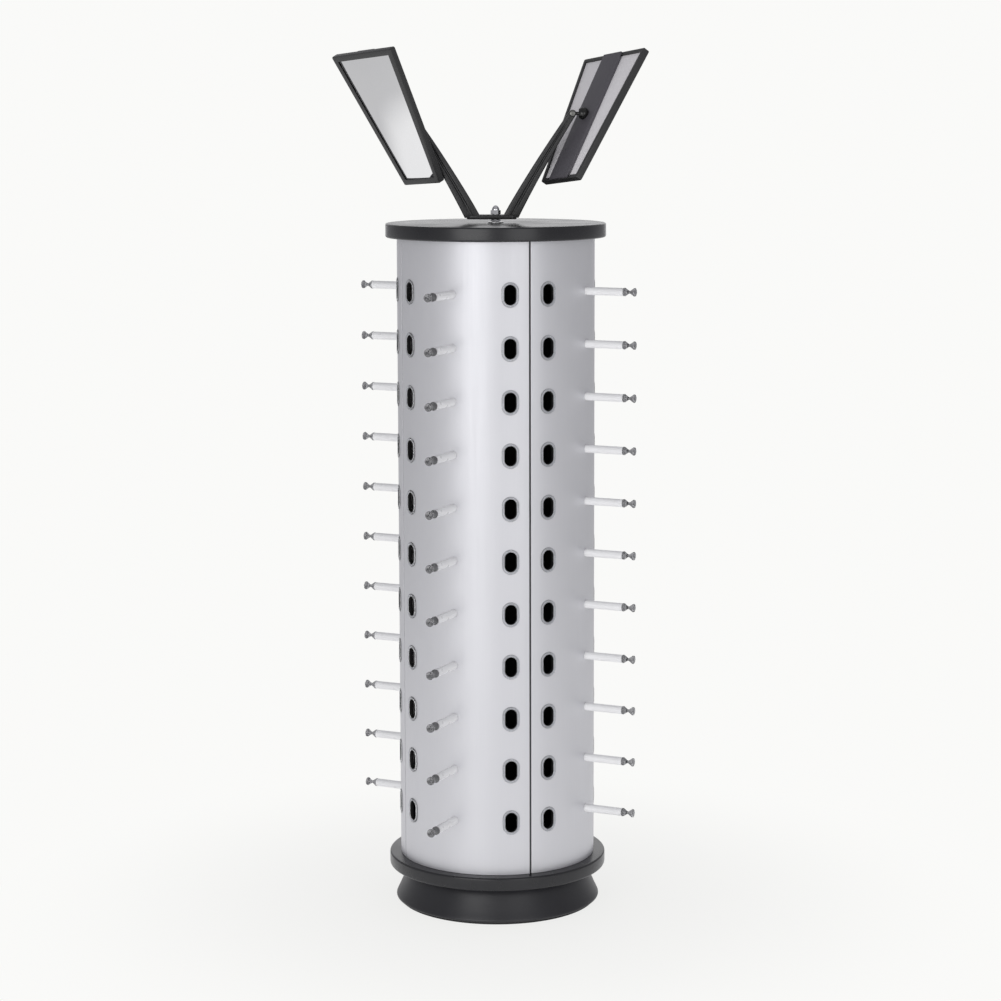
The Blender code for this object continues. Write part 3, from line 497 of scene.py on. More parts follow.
def build_foot():
    pad_radius = reach("base_pad")
    pad_hole = 0.060
    pad = filleted([(pad_hole, PAD_TOP), (pad_radius, PAD_TOP), (pad_radius, 0.0), (pad_hole, 0.0)],
                   [0.0002, 0.0006, 0.0010, 0.0002])
    place("foot_pad", turned_mesh("foot_pad", pad), "base", [rubber], ["base_pad"])
    low = PAD_TOP + GAP
    neck = FOOT_RADIUS - 0.014
    deck_hole = 0.020
    deck_low, deck_high = 0.031, 0.034
    flare = flowing([(neck, FOOT_TOP - 0.0012), (neck + 0.0028, 0.031), (neck + 0.0065, 0.022),
                     (neck + 0.0100, 0.014), (neck + 0.0126, 0.0085), (FOOT_RADIUS - 0.0002, low + 0.0026)])
    rim = flowing([(FOOT_RADIUS - 0.0002, low + 0.0026), (FOOT_RADIUS, low + 0.0013),
                   (FOOT_RADIUS - 0.0008, low + 0.0002), (FOOT_RADIUS - 0.0030, low)], 4)
    inside = [(FOOT_RADIUS - 0.0044, low + 0.0012), (neck + 0.0060, 0.013), (neck - 0.001, 0.028),
              (neck - 0.004, deck_low), (deck_hole, deck_low), (deck_hole, deck_high),
              (neck - 0.012, deck_high)]
    crown = [(neck - 0.012, FOOT_TOP - 0.0008), (neck - 0.0112, FOOT_TOP), (neck - 0.0012, FOOT_TOP),
             (neck - 0.0004, FOOT_TOP - 0.0004)]
    profile = crown + flare + rim[1:] + inside
    place("foot_shell", turned_mesh("foot_shell", profile), "base", [foot_black],
          ["base_shell"])


def build_flange():
    inner = 0.098
    spigot_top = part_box("lower_flange")[1].z
    top = PANEL_BOTTOM - GAP
    web_low, web_high = FLANGE_BOTTOM + 0.0024, FLANGE_BOTTOM + 0.0074
    corners = [(SPIGOT_INNER, spigot_top), (SPIGOT_OUTER, spigot_top), (SPIGOT_OUTER, top),
               (FLANGE_RADIUS, top), (FLANGE_RADIUS, FLANGE_BOTTOM), (inner, FLANGE_BOTTOM),
               (inner, web_low), (ROD_HOLE_RADIUS, web_low), (ROD_HOLE_RADIUS, web_high),
               (SPIGOT_INNER, web_high)]
    radii = [0.0006, 0.0006, 0.0002, 0.0022, 0.0030, 0.0010, 0.0005, 0.0002, 0.0002, 0.0010]
    place("flange_shell", turned_mesh("flange_shell", filleted(corners, radii, 5)), "column",
          [gloss_black], ["lower_flange"])


def build_top_plate():
    low = PANEL_TOP + GAP
    spigot_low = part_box("top_plate")[0].z
    web = PLATE_TOP - 0.005
    corners = [(ROD_HOLE_RADIUS, PLATE_TOP), (PLATE_RADIUS, PLATE_TOP), (PLATE_RADIUS, low),
               (SPIGOT_OUTER, low), (SPIGOT_OUTER, spigot_low), (SPIGOT_INNER, spigot_low),
               (SPIGOT_INNER, web), (ROD_HOLE_RADIUS, web)]
    radii = [0.0004, 0.0018, 0.0022, 0.0003, 0.0005, 0.0005, 0.0010, 0.0002]
    place("top_plate_shell", turned_mesh("top_plate_shell", filleted(corners, radii, 5)), "column",
          [gloss_black], ["top_plate"])


# ---------------------------------------------------------------- panels, grommets and pegs

def oval(half_width, half_height, steps=32):
    """An upright oval with straight sides, as (across, up)."""
    straight = half_height - half_width
    made = []
    for step in range(steps):
        angle = math.tau * (step + 0.5) / steps
        lift = straight if math.sin(angle) > 0 else -straight
        made.append((half_width * math.cos(angle), half_width * math.sin(angle) + lift))
    return made


def panel_section():
    """The sheet seen from above, centred on +X, its two upright edges rounded."""
    half = QUARTER / 2 - SEAM_WIDTH / 2 / COLUMN_RADIUS
    steps = 45
    edge = 0.0007
    inner = COLUMN_RADIUS - PANEL_THICKNESS
    turn = edge / COLUMN_RADIUS
    made = []
    for step in range(steps + 1):
        angle = -half + turn + 2 * (half - turn) * step / steps
        made.append((COLUMN_RADIUS, angle))
    made += [(COLUMN_RADIUS - 0.3 * edge, half - 0.3 * turn), (COLUMN_RADIUS - edge, half), (inner, half)]
    for step in range(steps + 1):
        made.append((inner, half - turn - 2 * (half - turn) * step / steps))
    made += [(inner, -half), (COLUMN_RADIUS - edge, -half), (COLUMN_RADIUS - 0.3 * edge, 0.3 * turn - half)]
    return [(radius * math.cos(angle), radius * math.sin(angle)) for radius, angle in made]


def true_normals(mesh):
    """Give the curved faces the cylinder's own normals, so that no cut shows in the gloss."""
    normals = []
    for face in mesh.polygons:
        middle = Vector((face.center.x, face.center.y, 0.0)).normalized()
        lean = face.normal.dot(middle)
        for loop in face.loop_indices:
            spot = mesh.vertices[mesh.loops[loop].vertex_index].co
            outward = Vector((spot.x, spot.y, 0.0)).normalized()
            curved = abs(lean) > 0.995
            normals.append(outward * math.copysign(1.0, lean) if curved else Vector((0.0, 0.0, 0.0)))
    mesh.normals_split_custom_set(normals)


def panel_mesh():
    """One punched panel, centred on +X: two columns of ovals and one of round peg holes."""
    section = panel_section()
    rings = [[(x, y, height) for x, y in section] for height in (PANEL_BOTTOM, PANEL_TOP)]
    sheet = ring_mesh("panel_sheet", rings)
    punches = bmesh.new()
    for row in range(ROW_COUNT):
        height = TOP_ROW - row * ROW_PITCH
        for side in (-1, 1):
            turn = Matrix.Rotation(side * (QUARTER / 2 - HOLE_ANGLE), 4, "Z")
            add_punch(punches, oval(HOLE_HALF_WIDTH, HOLE_HALF_HEIGHT), turn, height)
        add_punch(punches, oval(PEG_RADIUS + GAP / 2, PEG_RADIUS + GAP / 2, 28), Matrix(), height)
    bmesh.ops.recalc_face_normals(punches, faces=punches.faces)
    cutter = bpy.data.meshes.new("panel_punches")
    punches.to_mesh(cutter)
    punches.free()
    mesh = combined("panel", sheet, [("DIFFERENCE", cutter, None)])
    mesh.materials.clear()
    mesh.materials.append(aluminium)
    mesh.materials.append(painted_shade_black)
    for face in mesh.polygons:
        outward = Vector((face.center.x, face.center.y, 0.0)).normalized()
        # Faces turned into the column take the painted shade instead of the aluminium.
        face.material_index = 1 if face.normal.dot(outward) < -0.9 else 0
    true_normals(mesh)
    return mesh


def add_punch(work, outline, turn, height):
    """A prism along X through the sheet, cut to this outline."""
    ends = []
    for depth in (COLUMN_RADIUS - 0.006, COLUMN_RADIUS + 0.006):
        ends.append([work.verts.new(turn @ Vector((depth, across, up + height))) for across, up in outline])
    for index in range(len(outline)):
        work.faces.new((ends[0][index - 1], ends[0][index], ends[1][index], ends[1][index - 1]))
    work.faces.new(ends[0])
    work.faces.new(ends[1][::-1])


def grommet_mesh():
    """A clear oval grommet wrapped on the column at +X: sleeve inside, rounded flange outside."""
    corners = [(-0.0006, -0.0042), (-0.0001, -0.0042), (-0.0001, 0.0001), (0.0026, 0.0001),
               (0.0026, 0.0006), (0.0010, 0.0011), (-0.0006, 0.0009)]
    section = filleted(corners, [0.0002, 0.0002, 0.0001, 0.0002, 0.0007, 0.0008, 0.0004], 3)
    base = oval(HOLE_HALF_WIDTH, HOLE_HALF_HEIGHT, 40)
    rings = []
    for out, lift in section:
        ring = []
        for across, up in shrunk(base, -out):
            angle = across / COLUMN_RADIUS
            radius = COLUMN_RADIUS + lift
            ring.append((radius * math.cos(angle), radius * math.sin(angle), up))
        rings.append(ring)
    mesh = ring_mesh("grommet", rings, around=True)
    mesh.materials.append(grommet_clear)
    mesh.materials.append(painted_shade_black)
    for face in mesh.polygons:
        depth = math.hypot(face.center.x, face.center.y) - COLUMN_RADIUS
        # The sleeve inside the hole takes the painted shade instead of the clear plastic.
        face.material_index = 1 if depth < -0.0002 else 0
    return mesh


def peg_mesh():
    """One peg along +X: a milky rod and a clear hourglass tip with rounded lips, tinted grey as painted
    shade.
    """
    neck = PEG_TIP - SPOOL_LENGTH
    waist = neck + SPOOL_LENGTH / 2
    lip = 0.0016
    spool = flowing([(SPOOL_RADIUS, PEG_TIP - lip), (0.0036, PEG_TIP - 0.0034), (SPOOL_WAIST, waist),
                     (0.0036, neck + 0.0034), (SPOOL_RADIUS, neck + lip)], 5)
    tip = [(0.0, PEG_TIP), (SPOOL_RADIUS - 0.0006, PEG_TIP), (SPOOL_RADIUS - 0.0002, PEG_TIP - 0.0002),
           (SPOOL_RADIUS, PEG_TIP - 0.0006)]
    base = [(SPOOL_RADIUS, neck + 0.0005), (SPOOL_RADIUS - 0.0001, neck), (PEG_RADIUS, neck - 0.0006)]
    rod = [(PEG_RADIUS, COLUMN_RADIUS), (PEG_RADIUS, STRIP_FRONT), (0.0, STRIP_FRONT)]
    mesh = turned_mesh("peg", tip + spool + base + rod, 28, closed=False)
    mesh.materials.append(milky_rod)
    mesh.materials.append(shade_tinted_tip)
    for face in mesh.polygons:
        face.material_index = 1 if face.center.z > neck else 0
    return mesh


def strip_mesh():
    """The thin strip behind a panel that its pegs are screwed to."""
    outline = filleted([(STRIP_BACK, -STRIP_HALF_WIDTH), (STRIP_FRONT, -STRIP_HALF_WIDTH),
                        (STRIP_FRONT, STRIP_HALF_WIDTH), (STRIP_BACK, STRIP_HALF_WIDTH)], [0.0005] * 4)
    return prism_mesh("peg_rail", outline, STRIP_BOTTOM, STRIP_TOP)


def build_column():
    panel = panel_mesh()
    grommet = grommet_mesh()
    peg = peg_mesh()
    strip = strip_mesh()
    upright = Matrix.Rotation(math.pi / 2, 4, "Y")
    for index in range(PANEL_COUNT):
        seam = SEAM_ANGLE + QUARTER * index
        middle = facing(seam + QUARTER / 2)
        number = index + 1
        place(f"panel_{number}_sheet", panel, "column", [aluminium],
              [f"panel_{number}"], middle)
        place(f"peg_rail_{number}", strip, "column", [milky_rod],
              [f"peg_strip_{number}"], middle)
        for row in range(ROW_COUNT):
            lift = Matrix.Translation((0.0, 0.0, TOP_ROW - row * ROW_PITCH))
            place(f"peg_{number}_{row + 1}", peg, "column", [milky_rod],
                  matrix=middle @ lift @ upright)
            for side, angle in (("a", seam + HOLE_ANGLE), ("b", seam + QUARTER - HOLE_ANGLE)):
                place(f"grommet_{number}{side}_{row + 1}", grommet, "column",
                      [grommet_clear], matrix=facing(angle) @ lift)


# ---------------------------------------------------------------- nuts and screws

def hexagon(radius):
    return [(radius * math.cos(math.tau * side / 6), radius * math.sin(math.tau * side / 6))
            for side in range(6)]


def nut_mesh(name, radius, height, dome=0.0):
    """A chamfered hexagon, with a dome on it for a cap nut."""
    body = ring_mesh(name, [[(x, y, level) for x, y in hexagon(radius)] for level in (0.0, height)])
    flat = radius * math.cos(math.pi / 6)
    chamfer = [(0.0, height), (flat * 0.96, height), (radius, height - (radius - flat) * 0.75),
               (radius, (radius - flat) * 0.6), (flat * 0.97, 0.0), (0.0, 0.0)]
    steps = [("INTERSECT", turned_mesh(name + "_chamfer", chamfer, SMALL_STEPS, closed=False), None)]
    if dome:
        arc = flowing([(0.0, dome), (0.0016, dome - 0.0004), (0.0032, dome - 0.0018),
                       (0.0042, dome - 0.0038), (0.0045, height - 0.0002)], 4)
        steps.append(("UNION", turned_mesh(name + "_dome", arc + [(0.0, height - 0.0002)], SMALL_STEPS,
                                           closed=False), None))
    return combined(name, body, steps)


def build_rod_fastenings():
    washer_low, washer_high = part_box("upper_washer")[0].z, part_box("upper_washer")[1].z
    radius = reach("upper_washer")
    profile = filleted([(0.0033, washer_high), (radius, washer_high), (radius, washer_low),
                        (0.0033, washer_low)], [0.0002, 0.0003, 0.0003, 0.0002], 3)
    place("plate_washer", turned_mesh("plate_washer", profile, 64), "column", [chrome],
          ["upper_washer"])
    nut_low, nut_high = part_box("upper_nut")[0].z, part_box("upper_nut")[1].z
    place("plate_nut", nut_mesh("plate_nut", reach("upper_nut"), nut_high - nut_low), "column",
          [chrome], ["upper_nut"], Matrix.Translation((0.0, 0.0, nut_low)))
    cap_low, cap_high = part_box("cap_nut")[0].z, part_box("cap_nut")[1].z
    place("acorn_nut", nut_mesh("acorn_nut", reach("cap_nut"), 0.005, cap_high - cap_low), "column",
          [chrome], ["cap_nut"], Matrix.Translation((0.0, 0.0, cap_low)))


def screw_mesh(name, head_radius, head_height, shank, length, socket):
    """A button-head screw with a hexagonal socket, its seat at the origin and its shank down."""
    crown = flowing([(head_radius * 0.45, head_height), (head_radius * 0.78, head_height * 0.80),
                     (head_radius * 0.97, head_height * 0.42), (head_radius, 0.0002)], 4)
    profile = [(0.0, head_height), *crown, (head_radius - 0.0002, 0.0), (shank, 0.0), (shank, -length),
               (0.0, -length)]
    body = turned_mesh(name, profile, 36, closed=False)
    recess = ring_mesh(name + "_socket", [[(x, y, level) for x, y in hexagon(socket)]
                                          for level in (head_height * 0.25, head_height + 0.002)])
    return combined(name, body, [("DIFFERENCE", recess, None)])


# ---------------------------------------------------------------- mirror bracket

def arm_point(share):
    """Middle of the right arm in (x, z), on a parabola through foot, elbow and tip."""
    control = 2 * ARM_ELBOW - (ARM_FOOT + ARM_TIP) / 2
    away = 1 - share
    return away * away * ARM_FOOT + 2 * share * away * control + share * share * ARM_TIP


def arm_heading(share):
    return (arm_point(min(share + 0.01, 1.0)) - arm_point(max(share - 0.01, 0.0))).normalized()


def arm_section(half_width, groove):
    """Across the arm as (across, depth): a rounded bar with a groove up the front and the back."""
    wide = half_width * 0.22
    floor = half_width * 0.10
    depth = ARM_HALF_DEPTH
    corners = [(half_width, -depth), (half_width, depth), (wide, depth), (floor, depth - groove),
               (-floor, depth - groove), (-wide, depth), (-half_width, depth), (-half_width, -depth),
               (-wide, -depth), (-floor, groove - depth), (floor, groove - depth), (wide, -depth)]
    edge = min(0.0014, half_width * 0.45)
    soft = min(0.0005, half_width * 0.1)
    radii = [edge, edge, soft, soft, soft, soft, edge, edge, soft, soft, soft, soft]
    return filleted(corners, radii, 3)


def arm_mesh(side):
    """One arm, swept up its parabola from inside the foot plate, with a round end past the pivot."""
    stations = []
    count = 30
    for step in range(2, count + 1):
        share = step / count
        half_width = ARM_FOOT_HALF + (ARM_TIP_HALF - ARM_FOOT_HALF) * share
        fade = min(1.0, (share - 0.05) / 0.08, max(0.0, (0.92 - share) / 0.06))
        stations.append((arm_point(share), arm_heading(share), half_width, 0.0002 + 0.0016 * fade))
    heading = arm_heading(1.0)
    for step in range(1, 9):
        angle = math.radians(10.5 * step)
        stations.append((ARM_TIP + heading * ARM_TIP_HALF * math.sin(angle), heading,
                         ARM_TIP_HALF * math.cos(angle), 0.0002))
    heading = arm_heading(0.0)
    level = BRACKET_BOTTOM + 0.0015
    start = ARM_FOOT + heading * (level - ARM_FOOT.y) / heading.y
    rings = [[(start.x + out / heading.y, depth, level)
              for out, depth in arm_section(ARM_FOOT_HALF, 0.0002)]]
    for spot, heading, half_width, groove in stations:
        across = Vector((heading.y, -heading.x))
        rings.append([(spot.x + out * across.x, depth, spot.y + out * across.y)
                      for out, depth in arm_section(half_width, groove)])
    rings = [[(BRACKET_MIDDLE + side * x, y, z) for x, y, z in ring] for ring in rings]
    return ring_mesh("bracket_arm", rings)


def build_bracket():
    reach_x, depth = BRACKET_PLATE_HALF, BRACKET_PLATE_DEPTH / 2
    outline = filleted([(-reach_x, -depth), (reach_x, -depth), (reach_x, depth), (-reach_x, depth)],
                       [0.006] * 4, 6)
    plate = prism_mesh("bracket_plate", outline, BRACKET_BOTTOM, BRACKET_BOTTOM + BRACKET_PLATE_HEIGHT,
                       0.0008)
    plate.transform(Matrix.Translation((BRACKET_MIDDLE, 0.0, 0.0)))
    steps = []
    heading = arm_heading(1.0)
    for side in (-1, 1):
        steps.append(("UNION", arm_mesh(side), None))
        lean = math.atan2(side * heading.x, heading.y)
        tip = Vector((BRACKET_MIDDLE + side * ARM_TIP.x, 0.0, ARM_TIP.y))
        half = LUG_THICKNESS / 2 + GAP
        slot = box_mesh("fork_slot", (-0.01, -half, -LUG_RADIUS - 2 * GAP), (0.01, half, 0.01))
        steps.append(("DIFFERENCE", slot, Matrix.Translation(tip) @ Matrix.Rotation(lean, 4, "Y")))
    place("bracket_shell", combined("bracket_shell", plate, steps), "head",
          [bracket_black], ["mirror_bracket"])


def build_knuckle(side_name, side, pivot):
    """The lug, stud and ball that carry a mirror, and the screw through the arm's fork."""
    lug = filleted([(0.0017, LUG_THICKNESS / 2), (LUG_RADIUS, LUG_THICKNESS / 2),
                    (LUG_RADIUS, -LUG_THICKNESS / 2), (0.0017, -LUG_THICKNESS / 2)], [0.0003] * 4, 3)
    across = Matrix.Rotation(math.pi / 2, 4, "X")
    eye = turned_mesh(f"{side_name}_eye", lug, SMALL_STEPS)
    eye.transform(across)
    start = KNUCKLE_REACH - BALL_RADIUS
    ball = [(BALL_RADIUS * math.sin(math.radians(turn)),
             KNUCKLE_REACH + BALL_RADIUS * math.cos(math.radians(turn))) for turn in range(0, 156, 6)]
    stem = [(0.0019, start - 0.0002), (0.0019, 0.0026), (0.0, 0.0026)]
    stud = turned_mesh(f"{side_name}_stud", ball + stem, SMALL_STEPS, closed=False)
    outward = Matrix.Rotation(side * math.pi / 2, 4, "Y")
    mesh = combined(f"{side_name}_knuckle_shell", eye, [("UNION", stud, outward)])
    body = f"{side_name}_knuckle"
    place(f"{side_name}_knuckle_shell", mesh, body, [ball_black],
          [f"{side_name}_ball_knuckle"], Matrix.Translation(pivot))
    screw = screw_mesh(f"{side_name}_pivot_bolt", 0.0036, 0.0016, 0.0015, 0.0105, 0.0015)
    seat = Matrix.Translation(pivot + Vector((0.0, -ARM_HALF_DEPTH - GAP, 0.0))) @ across
    place(f"{side_name}_pivot_bolt", screw, "head", [dark_steel],
          [f"{side_name}_pivot_screw"], seat)


# ---------------------------------------------------------------- mirrors

def trapezoid(inset):
    """The mirror's outline as (across, up), pulled in on every side by the same distance."""
    half_height = MIRROR_HEIGHT / 2
    slope = (MIRROR_TOP_WIDTH - MIRROR_BOTTOM_WIDTH) / 2 / MIRROR_HEIGHT
    pull = inset * math.hypot(1.0, slope)
    top = MIRROR_TOP_WIDTH / 2 - slope * inset - pull
    bottom = MIRROR_BOTTOM_WIDTH / 2 + slope * inset - pull
    high = half_height - inset
    return [(-bottom, -high), (bottom, -high), (top, high), (-top, high)]


def frame_mesh(name):
    """The frame's bar section carried round the trapezoid with mitred, slightly rounded corners."""
    lip = MIRROR_FRONT + FRAME_LIP
    seat = FRAME_BAR - FRAME_REBATE
    corners = [(0.0, MIRROR_FRONT), (0.0, MIRROR_BACK), (seat, MIRROR_BACK), (seat, lip),
               (FRAME_BAR, lip), (FRAME_BAR, MIRROR_FRONT)]
    section = filleted(corners, [0.0013, 0.0010, 0.0004, 0.0001, 0.0003, 0.0006], 4)
    rings = []
    for inset, depth in section:
        radius = max(0.0003, 0.0022 - inset)
        rings.append([(x, depth, z) for x, z in filleted(trapezoid(inset), [radius] * 4, 5)])
    return ring_mesh(name, rings, around=True)


def sheet_mesh(name, inset, front, back, edge):
    """A flat trapezoid sheet that stands up, its face towards -Y."""
    outline = filleted(trapezoid(inset), [0.0006] * 4, 3)
    mesh = prism_mesh(name, outline, -back, -front, edge)
    mesh.transform(Matrix.Rotation(math.pi / 2, 4, "X"))
    return mesh


def strap_mesh(name, board_back):
    """The strap down the back: it lies in the frame's window and over the bar at both ends."""
    outside = MIRROR_BACK + STRAP_PROUD
    inner_high = MIRROR_HEIGHT / 2 - FRAME_BAR - GAP
    long_high = MIRROR_HEIGHT / 2 - 0.0005
    rings = []
    stations = [(-long_high, MIRROR_BACK + GAP, 0.0008), (0.0008 - long_high, MIRROR_BACK + GAP, 0.0),
                (-inner_high - 0.0004, MIRROR_BACK + GAP, 0.0), (-inner_high, board_back + GAP, 0.0)]
    stations += [(-height, low, inset) for height, low, inset in reversed(stations)]
    for height, low, inset in stations:
        half = STRAP_HALF_WIDTH - inset
        corners = [(-half, low), (half, low), (half, outside - inset), (-half, outside - inset)]
        ring = filleted(corners, [0.0002, 0.0002, 0.0009, 0.0009], 4)
        rings.append([(x, y, height) for x, y in ring])
    return ring_mesh(name, rings)


def globe_mesh(name, radius, columns=48, rows=32):
    """A closed ball turned from half a circle."""
    arc = [(radius * math.sin(math.pi * step / rows), radius * math.cos(math.pi * step / rows))
           for step in range(rows + 1)]
    arc[0] = (0.0, radius)
    arc[-1] = (0.0, -radius)
    return turned_mesh(name, arc, columns, closed=False)


def socket_mesh(name, mouth):
    """A round housing on the strap: a ball's cap, hollowed, with a mouth towards the pivot."""
    outside = MIRROR_BACK + STRAP_PROUD + GAP
    wide = 1.5 * SOCKET_RADIUS
    base = box_mesh(name + "_base", (-wide, -2 * wide, -wide), (wide, outside, wide))
    hollow = globe_mesh(name + "_hollow", BALL_RADIUS + GAP)
    length = 0.010
    mouth_angle = math.radians(46)
    mouth_radius = length * math.tan(mouth_angle)
    cone = [(0.0, length), (mouth_radius, length), (0.0004, 0.0), (0.0, 0.0)]
    opening = turned_mesh(name + "_mouth", cone, SMALL_STEPS, closed=False)
    aim = mouth.to_track_quat("Z", "Y").to_matrix().to_4x4()
    mesh = combined(name, globe_mesh(name, SOCKET_RADIUS), [
        ("DIFFERENCE", base, None), ("DIFFERENCE", hollow, None), ("DIFFERENCE", opening, aim)])
    return mesh


def build_mirror(side_name, side, ball, aim):
    yaw, tilt, roll = (math.radians(value) for value in aim)
    turn = Matrix.Rotation(yaw, 4, "Z") @ Matrix.Rotation(tilt, 4, "X") @ Matrix.Rotation(roll, 4, "Y")
    matrix = Matrix.Translation(ball) @ turn
    body = f"{side_name}_mirror"
    place(f"{side_name}_frame_shell", frame_mesh(f"{side_name}_frame_shell"), body,
          [frame_black], [f"{side_name}_mirror_frame"], matrix)
    seat = FRAME_BAR - FRAME_REBATE + GAP
    glass_front = MIRROR_FRONT + FRAME_LIP + GAP
    glass_back = glass_front + GLASS_THICKNESS
    glass = sheet_mesh(f"{side_name}_looking_glass", seat, glass_front, glass_back, 0.0003)
    place(f"{side_name}_looking_glass", glass, body, [mirror_silver],
          [f"{side_name}_mirror_glass"], matrix)
    board_back = glass_back + GAP + BOARD_THICKNESS
    board = sheet_mesh(f"{side_name}_backing_card", seat, glass_back + GAP, board_back, 0.0002)
    place(f"{side_name}_backing_card", board, body, [backing_grey],
          [f"{side_name}_backing_board"], matrix)
    strap = strap_mesh(f"{side_name}_strap_bar", board_back)
    hollow = globe_mesh(f"{side_name}_strap_hollow", BALL_RADIUS + GAP)
    strap = combined(f"{side_name}_strap_bar", strap, [("DIFFERENCE", hollow, None)])
    place(f"{side_name}_strap_bar", strap, body, [strap_grey],
          [f"{side_name}_back_strap"], matrix)
    mouth = turn.inverted() @ Vector((-side, 0.0, 0.0))
    place(f"{side_name}_socket_shell", socket_mesh(f"{side_name}_socket_shell", mouth), body,
          [ball_black], [f"{side_name}_ball_socket"], matrix)


# ---------------------------------------------------------------- nodes that stay as they are

def dress_cad_nodes():
    """Materials for the frame's own pieces that show through slits and gaps; the joiner's black in the
    seams is painted shade.
    """
    # The panel joiner takes the foot's black plastic as painted shade, so the seam slit reads dark.
    finishes = {"panel_joiner": foot_black, "tie_rod": zinc_steel, "bearing": zinc_steel,
                "lower_ring_screw": zinc_steel, "upper_ring_screw": zinc_steel,
                "lower_nut": chrome, "lower_washer": chrome}
    for name, item in NODES.items():
        for start, material in finishes.items():
            if name.startswith(start):
                item.data.materials.clear()
                item.data.materials.append(material)


# ---------------------------------------------------------------- stage, light and camera

def eased(nodes, links, distance, near, far, at_near, at_far):
    """A value that goes smoothly from at_near to at_far between the two distances."""
    node = nodes.new("ShaderNodeMapRange")
    node.interpolation_type = "SMOOTHSTEP"
    node.inputs["From Min"].default_value = near
    node.inputs["From Max"].default_value = far
    node.inputs["To Min"].default_value = at_near
    node.inputs["To Max"].default_value = at_far
    links.new(distance, node.inputs["Value"])
    return node.outputs["Result"]


def product(nodes, links, first, second):
    node = nodes.new("ShaderNodeMath")
    node.operation = "MULTIPLY"
    links.new(first, node.inputs[0])
    links.new(second, node.inputs[1])
    return node.outputs["Value"]


def floor_material():
    """Pale paper: shadowed near the foot, as bright as the backdrop further out, aglow in reflections."""
    material, nodes, links = new_material("pale_floor")
    shader = nodes["Principled BSDF"]
    shader.inputs["Roughness"].default_value = 0.9
    shader.inputs["Specular IOR Level"].default_value = 0.1
    shader.inputs["Emission Color"].default_value = BACKDROP
    grain = object_noise(nodes, links, 3.0)
    links.new(tint(nodes, links, grain, (0.86, 0.86, 0.855), (0.89, 0.89, 0.885)),
              shader.inputs["Base Color"])
    spot = nodes.new("ShaderNodeTexCoord")
    length = nodes.new("ShaderNodeVectorMath")
    length.operation = "LENGTH"
    links.new(spot.outputs["Object"], length.inputs[0])
    distance = length.outputs["Value"]
    seen = nodes.new("ShaderNodeLightPath").outputs["Is Camera Ray"]
    unseen = nodes.new("ShaderNodeMath")
    unseen.operation = "SUBTRACT"
    unseen.inputs[0].default_value = 1.0
    links.new(seen, unseen.inputs[1])
    glow = eased(nodes, links, distance, 1.30, 2.00, 0.45, 0.16)
    links.new(product(nodes, links, glow, unseen.outputs["Value"]), shader.inputs["Emission Strength"])
    backdrop = nodes.new("ShaderNodeEmission")
    backdrop.inputs["Color"].default_value = BACKDROP
    mix = nodes.new("ShaderNodeMixShader")
    share = eased(nodes, links, distance, 0.10, 0.60, 0.84, 1.0)
    links.new(product(nodes, links, share, seen), mix.inputs["Fac"])
    links.new(shader.outputs["BSDF"], mix.inputs[1])
    links.new(backdrop.outputs["Emission"], mix.inputs[2])
    links.new(mix.outputs["Shader"], nodes["Material Output"].inputs["Surface"])
    return material


def build_stage():
    mesh = turned_mesh("floor", [(9.0, 0.0), (4.0, 0.0), (1.0, 0.0), (0.0, 0.0)], 64, closed=False)
    floor = scratch("floor", mesh, Matrix.Translation((0.0, 0.0, -0.0002)))
    mesh.materials.append(floor_material())


def add_softbox(name, azimuth, elevation, distance, width, height, power):
    """A soft rectangular light that looks at the middle of the column."""
    light = bpy.data.lights.new(name, "AREA")
    light.shape = "RECTANGLE"
    light.size = width
    light.size_y = height
    light.energy = power
    item = bpy.data.objects.new(name, light)
    bpy.context.scene.collection.objects.link(item)
    turn, lift = math.radians(azimuth), math.radians(elevation)
    away = Vector((math.sin(turn) * math.cos(lift), -math.cos(turn) * math.cos(lift), math.sin(lift)))
    item.location = LIGHT_TARGET + away * distance
    item.rotation_mode = "QUATERNION"
    item.rotation_quaternion = away.to_track_quat("Z", "Y")


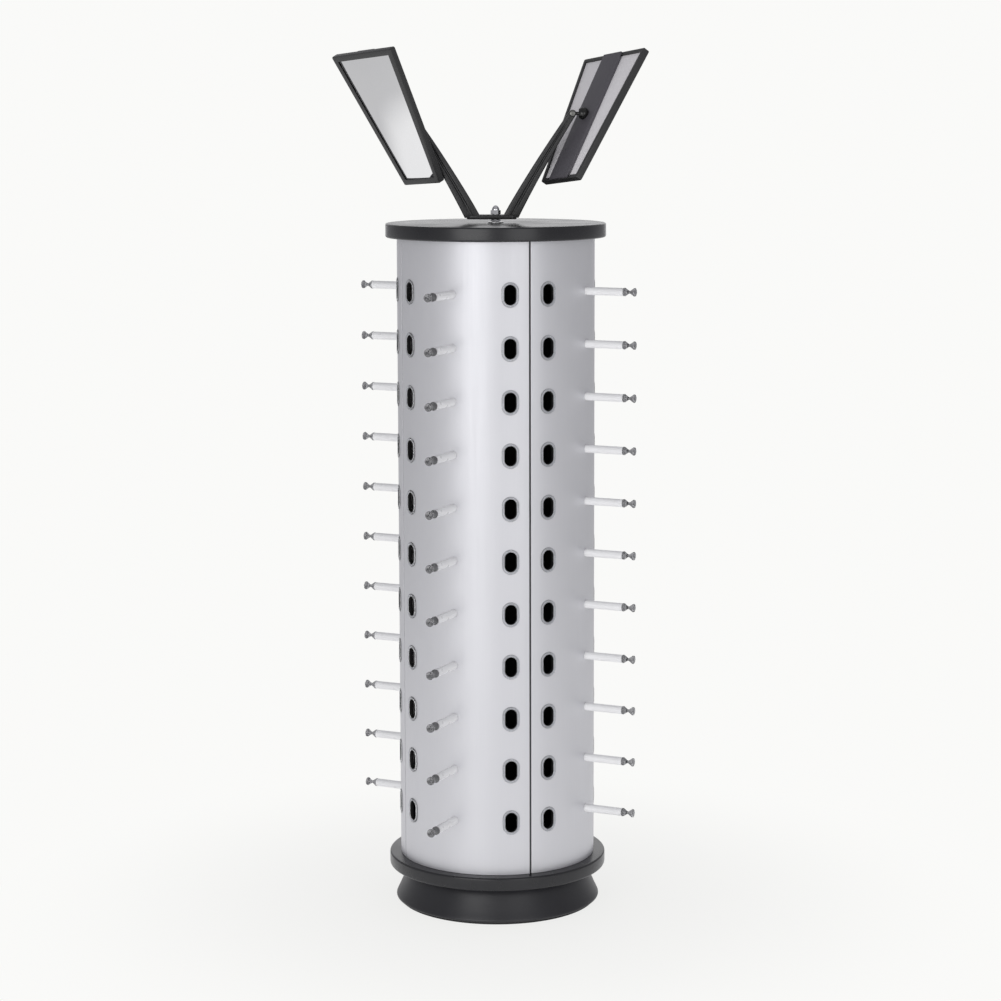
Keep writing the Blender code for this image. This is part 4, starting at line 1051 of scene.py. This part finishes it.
def build_light():
    """A pale room, two soft boxes in front and a weak one behind; the backdrop is near white."""
    world = bpy.data.worlds.new("studio")
    bpy.context.scene.world = world
    world.use_nodes = True
    nodes, links = world.node_tree.nodes, world.node_tree.links
    room = nodes["Background"]
    room.inputs["Color"].default_value = (0.97, 0.97, 1.0, 1.0)
    room.inputs["Strength"].default_value = 0.41
    backdrop = nodes.new("ShaderNodeBackground")
    backdrop.inputs["Color"].default_value = BACKDROP
    path = nodes.new("ShaderNodeLightPath")
    mix = nodes.new("ShaderNodeMixShader")
    links.new(path.outputs["Is Camera Ray"], mix.inputs["Fac"])
    links.new(room.outputs["Background"], mix.inputs[1])
    links.new(backdrop.outputs["Background"], mix.inputs[2])
    links.new(mix.outputs["Shader"], nodes["World Output"].inputs["Surface"])
    add_softbox("key_box", -25.0, 6.0, 3.4, 2.2, 2.2, 33.0)
    add_softbox("fill_box", 26.0, 6.0, 3.4, 1.8, 2.2, 17.0)
    add_softbox("back_box", 180.0, 12.0, 3.8, 3.2, 1.6, 11.0)
    bpy.context.scene.view_settings.view_transform = "Standard"


def build_camera():
    """A long lens 3 m away, a little above the top plate, looking slightly down."""
    data = bpy.data.cameras.new("camera")
    data.sensor_width = 36.0
    data.lens = 93.9
    data.shift_x = 0.0042
    data.shift_y = -0.0530
    camera = bpy.data.objects.new("camera", data)
    bpy.context.scene.collection.objects.link(camera)
    camera.location = (0.0, -3.000, 0.924)
    camera.rotation_mode = "QUATERNION"
    aim = Matrix.Rotation(math.radians(90.0 - 7.40), 3, "X") @ Matrix.Rotation(math.radians(-0.16), 3, "Z")
    camera.rotation_quaternion = aim.to_quaternion()
    bpy.context.scene.camera = camera


build_camera()
build_light()
build_stage()
build_foot()
build_flange()
build_top_plate()
build_column()
build_rod_fastenings()
build_bracket()
build_knuckle("left", -1, LEFT_PIVOT)
build_knuckle("right", 1, RIGHT_PIVOT)
build_mirror("left", -1, LEFT_BALL, LEFT_AIM)
build_mirror("right", 1, RIGHT_BALL, RIGHT_AIM)
dress_cad_nodes()
